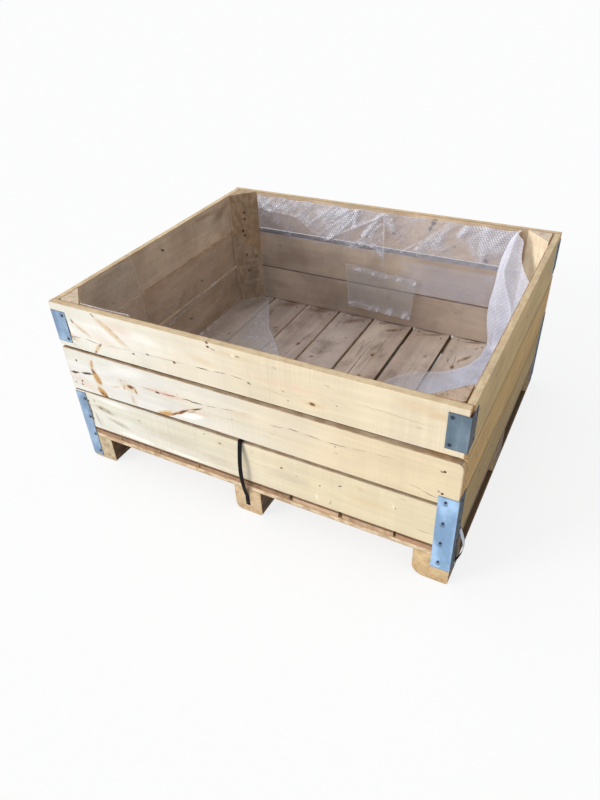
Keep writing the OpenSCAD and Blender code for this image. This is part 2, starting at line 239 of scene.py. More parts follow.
AXES = {"x": 0, "y": 1, "z": 2}
CREAM = pair(0xF9F0D8, 0xF0E1BE)
INNER = pair(0xDCC2A6, 0xC4A88C)
EDGE = pair(0xE2CAAE, 0xBCA288)
RIM = pair(0xE2CBA5, 0xD4B991)
DARK = pair(0x70563E, 0x4E3A28)
END = pair(0xCEAA7C, 0xB48E64)
TAN = pair(0xE8C89A, 0xD4B080)
# the first shade draws real cracks and nail holes, and also painted shadow lines beside the angles and the
# post
SHADES = {"crack_and_shadow": rgb(0x422C26), "rust": rgb(0x784230), "bark": rgb(0xC4965C),
          "umber": rgb(0x765234), "halo": rgb(0xD6B88E), "grey": rgb(0xA89882),
          "pale": rgb(0xFEFCF6), "pink": rgb(0xE2BAA4)}


def dress(material, *names):
    for name in names:
        nodes[name].data.materials.clear()
        nodes[name].data.materials.append(material)


def stroke(k, flat, x0, z0, x1, z1, wide, power, limit):
    """A soft stroke from (x0, z0) to (x1, z1) of that half width, in mm, as a mask."""
    m = k.add("ShaderNodeMapping", vector_type="TEXTURE")
    m.inputs["Location"].default_value = ((x0 + x1) / 2000, (z0 + z1) / 2000, 0)
    m.inputs["Rotation"].default_value = (0, 0, math.atan2(z1 - z0, x1 - x0))
    m.inputs["Scale"].default_value = (math.hypot(x1 - x0, z1 - z0) / 2000 + wide / 1000, wide / 1000, 1)
    k.put(m.inputs["Vector"], flat)
    return k.step(k.vec("LENGTH", m.outputs[0]), 1, limit, 0, power)


class Wood:
    """The places and noises that the parts of one timber material share: a along the grain, c across the face
    and t through the thickness, with their normals, and q, the place in the grain."""

    def __init__(self, k, node, axes, seed, knots):
        self.k, self.seed, self.axes = k, seed, [AXES[x] for x in axes]
        self.p, self.n = k.place(), k.facing()
        ps, ns = k.split(self.p), k.split(self.n)
        self.lo, self.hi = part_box(node)
        self.mid = (self.lo + self.hi) / 2
        self.up = ps[2]
        self.a, self.c, self.t = (ps[i] for i in self.axes)
        self.na, self.nc = (k.math("ABSOLUTE", ns[i]) for i in self.axes[:2])
        q = k.vec("ADD", k.join(self.a, self.c, self.t), (seed * 3.17, seed * 1.71, seed * 5.39))
        bend = k.drawn(q, (1.4, 5, 5), colour=True)
        q = k.vec("ADD", q, k.vec("MULTIPLY", k.vec("SUBTRACT", bend, (0.5, 0.5, 0.5)), (0, 0.045, 0.045)))
        self.cores, self.halos = [], []
        for knot in knots:
            q = self.knot(q, *(v / 1000 for v in knot))
        self.q = q
        self.bands = k.drawn(q, (0.9, 11, 11), 3, 0.55)
        self.rings = k.drawn(q, (1.6, 62, 62), 3, 0.6)
        self.fibre = k.drawn(q, (9, 380, 380), 2, 0.6)
        self.cuts = k.drawn(q, (150, 2.2, 2.2), 2, 0.65)
        self.cloud = k.noise(q, 7.5, 3, 0.6)
        self.spots = k.noise(q, 38, 3, 0.65)

    def knot(self, q, along, across, r):
        """Bends the grain round a knot, and keeps the masks of its core and of the ring about it."""
        k = self.k
        off = k.minus(self.c, across)
        away = k.vec("LENGTH", k.join(k.mul(k.minus(self.a, along), 0.6), off, 0))
        shift = k.mul(k.mul(k.step(away, r * 5, r * 0.6), off), -0.75)
        away = k.plus(away, k.mul(k.noise(self.p, 90, 2), r * 0.5))
        self.cores.append(k.step(away, r * 1.35, r * 0.85))
        self.halos.append(k.step(away, r * 2.1, r * 1.3))
        return k.vec("ADD", q, k.join(0, shift, 0))

    def light(self, grain, saw, dirt):
        """How light the wood is, by its growth rings, fibres, saw cuts and dirt."""
        k = self.k
        light = k.mul(k.step(self.rings, 0.36, 0.64, 1 - 0.075 * grain, 1.015),
                      k.step(self.fibre, 0.3, 0.7, 1 - 0.04 * grain, 1.015))
        patchy = k.step(k.noise(self.q, 3.4, 2, 0.5), 0.38, 0.64, 0.1, 1)
        sawn = k.step(self.cuts, 0.36, 0.68, -0.055 * saw, 0.012 * saw)
        swell = k.drawn(self.q, (13, 1.1, 1.1), 2, 0.5)
        light = k.mul(light, k.math("MULTIPLY_ADD", sawn, patchy, 1))
        light = k.mul(light, k.step(swell, 0.35, 0.65, 1 - 0.03 * saw, 1.015))
        light = k.mul(light, k.step(self.cloud, 0.32, 0.66, 1 - 0.1 * dirt, 1.02))
        return k.mul(light, k.step(self.spots, 0.62, 0.76, 1, 1 - 0.16 * dirt))

    def side(self, tones, seam_shade, inside, rim):
        """The long edges. deep paints shade on a ledge beyond a depth, and rim gives an edge a brown inner
        line.
        """
        k = self.k
        side = k.mix(k.step(k.drawn(self.q, (34, 60, 60), 3), 0.35, 0.65), *tones)
        if seam_shade is not None:
            # painted shade: the ledge turns dark beyond a depth that runs between the two given values along
            # the grain
            turn_dark = k.step(self.a, *(v / 1000 for v in seam_shade), False)
            inset = k.minus(k.minus(self.t, self.lo[self.axes[2]]), turn_dark)
            side = k.mix(k.step(inset, -0.001, 0.0025, 0, 0.9), side, rgb(0x402E22))
        if rim:
            reach = sum(v * (self.hi[i] if v > 0 else self.lo[i]) for i, v in enumerate(inside))
            inset = k.minus(reach, k.vec("DOT_PRODUCT", self.p, inside))
            inset = k.plus(inset, k.mul(k.minus(k.noise(self.p, 46, 4, 0.7), 0.5), 0.007))
            side = k.mix(k.step(inset, 0.0036, 0.0014, 0, 0.85), side, rgb(0x926646))
        return side

    def tip(self, tones, ring, above):
        """End grain, with year rings, and painted shade above a height in mm where that is given."""
        k, mid = self.k, self.mid
        pith = k.vec("LENGTH", k.join(0, k.plus(self.c, 0.03 * math.sin(self.seed * 7) - mid[self.axes[1]]),
                                      k.plus(self.t, 0.045 - mid[self.axes[2]])))
        year = k.math("SINE", k.mul(k.plus(pith, k.mul(self.cloud, 0.012)), 760))
        tip = k.mix(k.step(year, -0.4, 0.9, 0, ring), *tones)
        tip = k.mix(k.step(self.spots, 0.44, 0.68, 0, 0.7), tip, tones[1])
        if above is not None:
            # painted shade on the end's top, under the board that lies over it
            dark = k.step(self.up, above / 1000 - 0.001, above / 1000 + 0.0015, 0, 0.85)
            tip = k.mix(dark, tip, rgb(0x463020))
        return tip

    def worn(self):
        """A mask of the worn arrises: places near two of the board's six faces."""
        k = self.k
        from_low = k.vec("SUBTRACT", self.p, tuple(self.lo))
        e = k.split(k.vec("MINIMUM", from_low, k.vec("SUBTRACT", tuple(self.hi), self.p)))
        second = k.math("MAXIMUM", k.math("MINIMUM", e[0], e[1]),
                        k.math("MINIMUM", k.math("MAXIMUM", e[0], e[1]), e[2]))
        return k.step(k.plus(second, k.mul(k.noise(self.p, 60, 3, 0.7), -0.0042)), 0.0004, -0.0014)

    def stained(self, colour, blotch):
        """Broad soil and small dark specks."""
        k = self.k
        soil = k.noise(k.vec("MULTIPLY", self.q, (0.7, 1, 1)), 11, 5, 0.72)
        colour = k.mix(k.step(soil, 0.5, 0.7, 0, blotch), colour, rgb(0x745E4E))
        specks = k.step(k.noise(self.q, 75, 3, 0.7), 0.63, 0.74, 0, blotch)
        return k.mix(specks, colour, rgb(0x544236))

    def marked(self, colour, height, marks, inward, marks_in):
        """Draws the strokes of each shade on the face, and cuts the cracks and rust into the height."""
        k = self.k
        jag = k.vec("SUBTRACT", k.noise(self.p, 30, 3, 0.65, True), (0.5, 0.5, 0.5))
        jag = k.split(k.vec("ADD", self.p, k.vec("MULTIPLY", jag, (0.010, 0.010, 0.010))))
        flat = k.join(jag[self.axes[0]], jag[self.axes[1]], 0)
        broken = k.step(k.noise(self.p, 70, 3, 0.7), 0.25, 0.5, 0.45, 1)
        if inward is not None:
            broken = k.mul(broken, inward if marks_in else k.minus(1, inward))
        for shade, limit, strokes in marks:
            whole = k.mul(k.most([stroke(k, flat, *s, limit) for s in strokes]), broken)
            colour = k.mix(whole, colour, SHADES[shade])
            # a longer list would make the bump too large a program for the renderer
            if shade in ("crack_and_shadow", "rust") and len(strokes) < 12:
                height = k.minus(height, whole)
        return colour, height


def timber(node, axes, tones, seed, inside=None, inner=INNER, edge=EDGE, end=END, saw=1, marks=(), knots=(),
           grain=1, dirt=0.3, drift=None, worn_by=0.4, ring=0.4, blotch=0, rim=False, seam_shade=None,
           tip_shade_above=None, marks_in=False):
    """Sawn wood. axes names the directions along the grain, across the face and through the thickness.
    marks: (shade, sharpness, strokes), knots: (along, across, radius) and drift: (from, to, colour), in mm.
    deep: (from, to, depth, depth), in mm, is where a ledge in a seam is painted in shade; above
    tip_shade_above an end is painted in shade.
    inside points into the box: that face takes darker inner tones, partly as wear and partly as painted
    shade, and the marks lie on it if marks_in says so."""
    k = Kit("timber_" + node)
    wood = Wood(k, node, axes, seed, knots)
    face = k.mix(k.step(wood.bands, 0.34, 0.66), *tones)
    if drift is not None:
        start, finish, colour = drift
        place = k.plus(wood.a, k.mul(wood.cloud, 0.25))
        face = k.mix(k.step(place, start / 1000 + 0.12, finish / 1000 + 0.12), face, colour)
    inward = None
    if inside is not None:
        inward = k.step(k.vec("DOT_PRODUCT", wood.n, inside), 0.35, 0.75)
        face = k.mix(inward, face, k.mix(k.step(k.noise(wood.q, 5, 3, 0.6), 0.36, 0.64), *inner))
    face = k.mix(k.step(wood.nc, 0.6, 0.75), face, wood.side(edge, seam_shade, inside, rim))
    face = k.mix(k.step(wood.na, 0.72, 0.9), face, wood.tip(end, ring, tip_shade_above))
    colour = k.lit(face, wood.light(grain, saw, dirt))
    if blotch:
        colour = wood.stained(colour, blotch)
    colour = k.mix(k.mul(wood.worn(), worn_by), colour, rgb(0xAA825C))
    height = k.plus(k.mul(wood.rings, 0.45), k.mul(wood.cuts, 0.3 * saw))
    height = k.plus(height, k.mul(wood.fibre, 0.25))
    if marks:
        colour, height = wood.marked(colour, height, marks, inward, marks_in)
    if knots:
        colour = k.mix(k.mul(k.most(wood.halos), 0.35), colour, rgb(0xC49660))
        colour = k.mix(k.mul(k.most(wood.cores), 0.85), colour, rgb(0x68422C))
    k.principled(Base_Color=colour, Roughness=k.step(wood.rings, 0.3, 0.7, 0.72, 0.6),
                 Specular_IOR_Level=0.32, Normal=k.bump(height, 0.0011, 0.7))
    dress(k.mat, node)


# The strokes follow the photograph: from and to, in mm on the wall, half width and power

FRONT_TOP = (
    ("halo", 0.2, (
        (-445, 563, -330, 480, 16, .75), (-531, 527, -463, 478, 12, .6), (-560, 480, -520, 466, 14, .5),
        (-140, 520, -40, 500, 18, .35), (420, 550, 560, 540, 20, .4), (505, 534, 555, 536, 16, .6),
        (-60, 548, 80, 552, 16, .3), (190, 470, 262, 468, 14, .5), (-438, 472, -466, 436, 10, .9))),
    ("pink", 0.2, (
        (-420, 545, -300, 530, 24, .3), (-470, 500, -380, 470, 26, .3), (40, 500, 300, 506, 22, .25))),
    ("pale", 0.2, (
        (6, 552, 14, 551, 5, .6), (-330, 536, -230, 520, 24, .4), (-560, 520, -530, 480, 18, .5))),
    ("umber", 0.4, (
        (-447, 566, -436, 558, 4, .7), (-400, 536, -380, 524, 4, .35), (-372, 516, -362, 508, 3, .4),
        (-437, 471, -446, 462, 5, .8), (-462, 440, -466, 436, 5, .8), (-531, 529, -524, 520, 5, .8),
        (-548, 470, -536, 462, 6, .5))),
    # painted shadow along the small left angle's right edge and under its foot
    ("crack_and_shadow", 0.2, ((-547.5, 545, -547.5, 449, 3.2, .9), (-548, 449, -538, 440, 1.6, .9))),
    ("crack_and_shadow", 0.35, (
        (-431, 553, -410, 540, 1.5, .4), (-360, 504, -338, 484, 1.4, .35), (-528, 522, -466, 482, 1.5, .45),
        (-551, 470, -504, 475, 1.7, .7), (-504, 475, -438, 470, 1.7, .8), (-438, 470, -310, 478, 1.1, .5),
        (-310, 478, -118, 486, 1.1, .55), (-118, 486, -64, 484, 2.2, .95), (-64, 484, -9, 490, 1.8, .8),
        (-9, 490, 41, 483, 1.5, .8), (45, 481, 56, 478, 3, .9), (60, 480, 190, 470, 1, .4),
        (-323, 470, -318, 469, 3.6, 1), (-275, 482, -266, 480, 3.6, 1), (-184, 480, -178, 478, 3.2, 1),
        (-67, 569, -62, 568, 3.8, 1), (-66, 558, -60, 557, 4, 1), (-58, 556, -40, 554, 1.6, .7),
        (17, 552, 30, 549, 2.6, .7), (143, 486, 150, 484, 2.4, .6), (220, 471, 232, 468, 4.2, 1),
        (158, 461, 162, 457, 2.6, .6), (259, 538, 272, 535, 1.8, .5), (288, 486, 291, 484, 2.4, .6),
        (300, 512, 560, 498, 1.2, .35), (250, 500, 330, 494, 1.2, .3), (120, 548, 134, 546, 1.8, .5),
        (480, 489, 500, 487, 1.6, .4))),
)
FRONT_MIDDLE = (
    ("halo", 0.2, (
        (-505, 400, -488, 300, 20, .5), (-400, 352, -340, 330, 22, .5), (-276, 282, -204, 304, 13, .8),
        (-204, 304, -112, 348, 9, .6), (-40, 366, 60, 368, 14, .35), (-440, 322, -404, 334, 5, .7),
        (-366, 318, -360, 282, 14, .45))),
    ("pink", 0.2, (
        (-330, 358, -150, 359, 12, .75), (-160, 318, -90, 330, 10, .5), (-592, 330, -512, 290, 28, .35),
        (-260, 276, -150, 276, 6, .5))),
    ("pale", 0.2, ((-196, 296, -110, 318, 14, .9), (-440, 390, -300, 400, 24, .4))),
    ("bark", 0.55, (
        (-493, 402, -503, 368, 6, .9), (-496, 352, -484, 326, 15, 1), (-492, 300, -472, 276, 15, 1),
        (-388, 342, -390, 328, 5, .7), (-352, 350, -345, 328, 5, .8), (-278, 279, -218, 292, 9, .95),
        (-218, 294, -176, 316, 6, .9))),
    ("umber", 0.4, (
        (-503, 366, -494, 354, 7, .95), (-484, 330, -480, 322, 4, .5), (-487, 290, -480, 282, 6, .9),
        (-474, 282, -466, 274, 6, .9), (-372, 346, -356, 345, 7, .95), (-347, 336, -344, 328, 4, .7),
        (-398, 358, -396, 356, 3, .6))),
    ("rust", 0.3, (
        (-262, 356, -186, 361, 2.6, .8), (-186, 361, -103, 362, 2.4, .8), (-226, 288, -204, 303, 4.6, 1),
        (-204, 303, -157, 328, 4.4, 1), (-157, 328, -107, 350, 3.4, 1), (-168, 315, -130, 331, 2.2, .8),
        (548, 319, 551, 317, 3.6, .9), (549, 298, 553, 296, 2.6, .8), (550, 382, 554, 380, 3.8, .9))),
    ("crack_and_shadow", 0.35, (
        (-224, 287, -160, 325, 1.6, .9), (-160, 325, -112, 347, 1.2, .8), (-600, 333, -556, 341, 5, 1),
        (-556, 341, -500, 351, 5.5, 1), (-588, 299, -585, 296, 3, .9), (-563, 299, -557, 296, 3.8, 1),
        (-269, 355, -256, 354, 4.6, 1), (-467, 364, -326, 362, 1, .35), (-326, 362, -262, 356, 1.4, .7),
        (-186, 362, -103, 361, 2.6, 1), (-103, 361, -60, 366, 1.4, .7), (-60, 366, 4, 376, 1.4, .6),
        (-4, 375, 60, 380, 1, .4), (90, 361, 148, 369, 1.3, .7), (148, 369, 191, 368, 1.6, .85),
        (191, 368, 252, 363, 1.5, .8), (252, 363, 324, 367, 1.5, .8), (324, 367, 374, 373, 1.2, .6),
        (374, 373, 450, 377, 1, .45), (-26, 341, -14, 343, 1.8, .5), (-236, 368, -233, 367, 2, .5),
        (-196, 370, -193, 369, 2, .5), (-366, 316, -363, 286, 1.6, .6), (99, 335, 109, 334, 1.6, .5),
        (464, 315, 520, 303, 1.1, .5), (505, 304, 552, 296, 1.6, .8), (284, 360, 288, 356, 2.2, .6),
        (283, 338, 290, 337, 2.2, .6))),
)
FRONT_BOTTOM = (
    ("grey", 0.15, (
        (-535, 226, -456, 208, 15, .75), (-499, 190, -400, 168, 13, .6), (-545, 200, -528, 140, 14, .35),
        (-380, 196, -150, 190, 26, .25), (-150, 170, -20, 166, 22, .3), (60, 200, 220, 196, 26, .25))),
    ("pale", 0.15, (
        (-470, 148, -300, 140, 13, .75), (-320, 143, -80, 139, 10, .6), (-540, 258, -380, 250, 12, .5),
        (441, 224, 446, 212, 3, .8), (299, 226, 304, 222, 3, .5), (226, 170, 230, 150, 5, .5))),
    ("halo", 0.2, (
        (300, 206, 460, 196, 20, .35), (-80, 240, -62, 234, 9, .5), (118, 226, 132, 218, 8, .5),
        (340, 246, 364, 236, 8, .5))),
    ("umber", 0.4, (
        (-518, 222, -509, 218, 5, .75), (-533, 248, -531, 238, 3, .7), (-486, 221, -478, 214, 4, .5))),
    ("rust", 0.4, ((-74, 238, -68, 240, 3.2, .9),)),
    # painted shadow along the tall left angle's right edge
    ("crack_and_shadow", 0.2, ((-558, 262, -558, 134, 4.6, 1),)),
    ("crack_and_shadow", 0.35, (
        (-368, 222, -358, 223, 2, .8), (-358, 220, -354, 214, 1.8, .7), (-540, 196, -533, 152, 1.5, .5),
        (-524, 200, -518, 140, 1.3, .4), (-126, 256, -116, 255, 2, .7), (120, 221, 126, 225, 3.4, 1),
        (235, 203, 241, 205, 2.8, .9), (294, 225, 302, 230, 3.2, .9), (446, 216, 450, 212, 2.2, .7),
        (270, 166, 265, 144, 1.5, .7), (497, 168, 552, 166, 1.3, .7), (450, 254, 479, 254, 1.2, .5),
        (168, 211, 171, 210, 2, .6), (551, 239, 555, 237, 2.6, .8), (30, 246, 36, 244, 2, .4))),
)


def flecks(*spots):
    """Short upright strokes on the right wall, at those places in mm."""
    return tuple((y - 2, z + h, y + 3, z - h, 3, .9) for y, z, h in spots)


RIGHT_FLECKS = (
    flecks((-311, 246, 9), (-304, 236, 8), (-338, 185, 8), (-306, 180, 9), (-140, 194, 8), (-171, 212, 7),
           (76, 206, 8), (-32, 135, 6), (-203, 137, 6), (-430, 200, 6), (240, 190, 7)),
    flecks((-473, 388, 8), (-383, 360, 10), (-59, 333, 9), (328, 302, 9), (-250, 300, 6), (150, 340, 7)),
    flecks((-288, 527, 10), (220, 405, 9), (-420, 470, 6), (60, 500, 7), (390, 480, 8), (-431, 529, 6)))
BACK_CRACKS = (
    ((-80, 200, -70, 196, 4, .6), (300, 230, 306, 226, 3, .6), (-380, 250, -372, 246, 3, .5)),
    ((-240, 352, -232, 348, 4, .5), (180, 380, 250, 376, 2, .4), (-420, 372, -410, 366, 4, .5)),
    ((197, 558, 189, 543, 11, 1), (187, 538, 179, 520, 8, 1), (50, 493, 56, 491, 7, 1),
     (92, 484, 102, 481, 4, .9), (266, 478, 276, 476, 4, .9), (376, 446, 388, 443, 10, 1),
     (436, 496, 440, 488, 6, 1), (-297, 498, -297, 488, 2, .8)),
)
LEFT_CRACKS = (
    ((66, 223, 82, 213, 7, .9), (-240, 190, -228, 186, 3, .5), (300, 160, 312, 156, 4, .6)),
    ((162, 334, 178, 328, 6, .8), (-60, 350, -52, 346, 4, .6)),
    ((-22, 533, -10, 524, 6, .9), (210, 470, 220, 466, 3, .5), (-292, 464, -274, 459, 4, .8),
     (-480, 478, -440, 456, 1.6, .6)),
)
POST_NAILS = (
    (500, -543, 496, -543, 5, 1), (475, -544, 471, -544, 5, 1), (430, -551, 424, -551, 5.5, 1),
    (411, -547, 407, -547, 5, 1), (330, -548, 322, -548, 4.5, .9), (316, -522, 308, -522, 5, .9),
    (262, -546, 252, -546, 5, .9), (300, -530, 160, -540, 20, .4),
)
DECK_MARKS = {
    1: (
        # the widest umber strokes on boards 1 and 2 paint the shade near the left wall, together with dirt
        ("umber", 0.1, (
            (300, -540, 470, -500, 30, .6), (100, -530, 300, -520, 40, .4), (180, -520, 190, -515, 5, .9))),),
    2: (
        ("umber", 0.1, (
            (430, -420, 478, -330, 30, .6), (268, -342, 276, -328, 9, .8), (120, -380, 128, -376, 5, .9),
            (330, -400, 400, -420, 16, .5), (100, -400, 300, -430, 40, .3))),),
    3: (
        ("umber", 0.1, (
            (440, -290, 478, -180, 24, .7), (60, -240, 78, -236, 7, 1), (210, -200, 300, -185, 14, .4))),
        ("crack_and_shadow", 0.3, ((-60, -230, 380, -180, 1.6, .6),))),
    4: (
        ("crack_and_shadow", 0.3, ((306, -56, 310, -52, 4, .9), (440, -130, 320, -118, 1.4, .6))),
        ("umber", 0.1, (
            (400, -120, 478, -30, 22, .7), (180, -100, 190, -96, 6, .9), (-40, -90, 60, -60, 20, .4),
            (140, -120, 146, -114, 9, .9)))),
    5: (
        ("crack_and_shadow", 0.3, (
            (478, 46, -480, 50, 2.6, .95), (478, 90, 60, 84, 1.6, .6), (272, 12, 344, 14, 1.6, .9),
            (344, 14, 344, 36, 1.6, .8), (272, 36, 344, 36, 1.4, .8), (260, 96, 300, 100, 2, .7))),
        ("rust", 0.1, ((330, 20, 180, 34, 8, .4),)),
        ("umber", 0.1, (
            (414, 60, 444, 112, 14, .95), (455, 20, 478, 60, 14, .7), (120, 60, 220, 70, 12, .3)))),
    6: (
        ("crack_and_shadow", 0.3, ((430, 176, 440, 190, 3, .9), (120, 230, 320, 236, 1.4, .5))),
        ("umber", 0.1, (
            (440, 190, 478, 280, 14, .6), (300, 250, 320, 256, 8, .7), (90, 200, 150, 220, 18, .4)))),
    7: (
        ("crack_and_shadow", 0.3, (
            (380, 350, 250, 362, 1.6, .7), (330, 330, 300, 340, 2.6, .8), (420, 400, 436, 408, 3, .9))),
        ("bark", 0.3, ((312, 366, 376, 402, 8, .5),)),
        ("umber", 0.1, (
            (330, 376, 376, 400, 12, .85), (312, 366, 340, 372, 6, .8), (450, 340, 478, 430, 12, .7)))),
}

# Front wall

timber("front_board_top", "xzy", pair(0xF1EEE7, 0xE8E4D7), 1.3, inside=(0, 1, 0), saw=1.4,
       grain=0.5, edge=RIM, rim=True, drift=(-540, 200, rgb(0xE6D6B9)),
       knots=((225, 470, 4.5), (-181, 480, 3)), marks=FRONT_TOP)
timber("front_board_middle", "xzy", pair(0xE8E5DF, 0xE0DBCE), 2.1, inside=(0, 1, 0), saw=0.7,
       grain=0.7, knots=((-364, 345, 6),), edge=pair(0xCEBA9E, 0xB2987A),
       seam_shade=(-600, 600, 6, 18), drift=(-420, 500, rgb(0xE4D1AF)), marks=FRONT_MIDDLE)
timber("front_board_bottom", "xzy", pair(0xE9E7E1, 0xE0DCCD), 3.4, inside=(0, 1, 0), saw=0.9,
       grain=0.7, edge=pair(0xD0BEA4, 0xB8A084), seam_shade=(-600, -60, 1, 11),
       drift=(-560, 330, rgb(0xE1D2B2)), marks=FRONT_BOTTOM)

# The other walls, from the bottom board up

# the right wall's outside tones, darkest on the bottom board, are painted shade, as that wall faces away from
# the light; the back wall's outside face takes the lightest
shaded_outer = (pair(0xA0844C, 0x92763E), pair(0xBA9556, 0xAC8648), pair(0xC1A571, 0xB49762))
# inner tones of the left wall, lightest on the top board: partly wear, partly painted shade of the box's
# inside
left_inner = (pair(0xD1B498, 0xBA9C80), pair(0xCCAE91, 0xB6977B), pair(0xE5CDB2, 0xCCB297))
left_edges = (pair(0xDECAAC, 0xC4AC8E), pair(0xCCB294, 0xB0967A), pair(0xF0D6AE, 0xD4B78E))
# the wide stroke low along the deck paints the shade in the corner of wall and deck; the other umber strokes
# are soil
left_soil_and_shade = ("umber", 0.1, ((280, 510, 400, 556, 26, .5), (150, 556, 330, 548, 12, .45),
                            (-380, 560, -180, 548, 10, .3), (-60, 140, 400, 150, 42, .45),
                            (-440, 540, -400, 440, 20, .25), (20, 300, 60, 330, 14, .3)))
# a painted shadow line on the left wall's boards beside the back left post
left_post_shadow = (393, 140, 393, 566, 4, .8)
# inner tones of the back wall, lightest on the top board: partly wear, partly painted shade
back_inner = (pair(0xDBC4A9, 0xC2A88C), pair(0xD9C2A6, 0xBEA488), pair(0xE2CAAD, 0xCAB093))
# the back wall's seam ledges: the lower one is painted dark as shade, and the upper one is grey blue, painted
# in shade left of the middle
back_edges = (pair(0x967860, 0x765A44), pair(0xA0A0A6, 0x86868D), RIM)
back_soil = ("umber", 0.15, ((-470, 210, -360, 180, 30, .25), (34, 236, 52, 232, 15, .5),
                             (-470, 352, -40, 346, 52, .24)))
for i, part in enumerate(("bottom", "middle", "top")):
    soil = ("umber", 0.2, ((-440 + 90 * i, 220 + 150 * i, -380 + 90 * i, 230 + 150 * i, 16, .25),
                           (100 - 80 * i, 170 + 150 * i, 260 - 80 * i, 160 + 150 * i, 12, .25)))
    timber("right_board_" + part, "yzx", shaded_outer[i], 5.2 + i, inside=(-1, 0, 0), saw=0.8, grain=0.45, dirt=1.1,
           edge=RIM if i == 2 else DARK, rim=i == 2, blotch=0.16,
           marks=(soil, ("crack_and_shadow", 0.35, RIGHT_FLECKS[i])))
    timber("left_board_" + part, "yzx", CREAM, 9.4 + i, inside=(1, 0, 0), inner=left_inner[i], saw=0.8,
           dirt=1.4, blotch=0.22, edge=left_edges[i], rim=i == 2, marks_in=True,
           marks=(left_soil_and_shade, ("crack_and_shadow", 0.3, LEFT_CRACKS[i] + (left_post_shadow,))))
    timber("back_board_" + part, "xzy", shaded_outer[2], 13.7 + i, inside=(0, -1, 0), inner=back_inner[i], saw=0.7,
           dirt=1, blotch=0.16, edge=back_edges[i], rim=i == 2, seam_shade=(-20, 30, -6, 26) if i == 1 else None,
           marks_in=True, marks=(("crack_and_shadow", 0.3, BACK_CRACKS[i]), back_soil))

# Corner posts: their tones, those of their ends, and their dirt

posts = {
    "front_left": (TAN, pair(0xE4D0B4, 0xAC8868), 0.5), "front_right": (TAN, pair(0xCEB49C, 0x6E503C), 1.6),
    # painted light and shade: the back right post, facing the light, has lighter tones, and the back left one
    # darker tones
    "back_right": (pair(0xFEF0D6, 0xF7E0BC), pair(0xE4D0B8, 0xB69C84), 0.5),
    "back_left": (pair(0xC6AA8A, 0xA4886C), pair(0xC8AC88, 0x9C7C5A), 1.6)}
for i, (name, (tones, cut, dirt)) in enumerate(posts.items()):
    timber("post_" + name, "zxy", tones, 21.3 + i, end=cut, edge=tones, dirt=dirt, saw=0.6, ring=0.1,
           blotch=0.75 if name == "front_right" else 0,
           marks=(("crack_and_shadow", 0.35, POST_NAILS),) if name == "back_left" else ())

# Deck, cross boards and feet

# the four boards on the left take the darker tones, painted shade near the left wall
deck_tones = (pair(0xCEBCB1, 0xB6A296), pair(0xE2D0C0, 0xC8B2A2))
deck_ends = (pair(0xB28E6E, 0x7E5C3E), pair(0xD6B492, 0xB08A6A), pair(0xC09674, 0x987052))
# the sides of the four left boards are painted light, so their seams don't read dark; the last board's side
# at the box's edge is painted dark as shade
deck_edges = (pair(0xEEDECC, 0xD4C2AE), pair(0x968C78, 0x706658), pair(0x685034, 0x4A3824))
for i in range(8):
    lo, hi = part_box(f"deck_board_{i + 1}")
    # a dark line across each board where it meets the back wall
    at_wall = (("crack_and_shadow", 0.2, ((477, lo.x * 1000, 477, hi.x * 1000, 6, 1),)),)
    # painted shade: each board's sides turn dark past the back wall's inner face, and its ends turn dark near
    # their tops, under the wall boards
    timber(f"deck_board_{i + 1}", "yxz", deck_tones[i > 3], 31.1 + 1.3 * i, saw=0.5, grain=0.6, dirt=1.8,
           worn_by=0.7, ring=0.15, blotch=0.5, tip_shade_above=123.2, seam_shade=(472, 480, 30, -6),
           end=deck_ends[0 if i < 5 else 1 if i < 7 else 2],
           edge=deck_edges[0 if i < 4 else 1 if i < 7 else 2], marks=DECK_MARKS.get(i + 1, ()) + at_wall,
           knots=((((-1) ** i) * 160 + 20 * i, -480 + 140 * i, 7), (-260 + 90 * (i % 5), -440 + 132 * i, 5)))
for i, name in enumerate(("front", "middle", "back")):
    # the ends, which face the box's sides, are painted dark as the shade they stand in
    timber("cross_board_" + name, "xyz", TAN, 45.7 + i, edge=pair(0xECD8BA, 0xC4A684),
           dirt=1.3, end=pair(0x685236, 0x4C3A26), worn_by=0.9)
foot_ends = (pair(0xD0BE9E, 0xA48E6C), pair(0xD6BC98, 0xB0926E), pair(0xD9BD92, 0xBC996E))
for j, col in enumerate(("left", "middle", "right")):
    for i, row in enumerate(("front", "centre", "back")):
        # the blocks' sides are painted dark as the shade they stand in
        timber(f"block_{row}_{col}", "yxz", TAN, 51.3 + 3 * i + j, edge=pair(0x6C5234, 0x4C3822),
               dirt=0.9, end=foot_ends[j], ring=0.15)
    # the runners' top, bottom and sides are painted dark as the shade under the deck
    timber("runner_" + col, "yxz", pair(0x786040, 0x5C482E), 63.9 + j, ring=0.15, dirt=1.2,
           end=(foot_ends[j][0], rgb(0xB6946A)), edge=pair(0x70583A, 0x503C26))

# Zinc, nails, strap and band


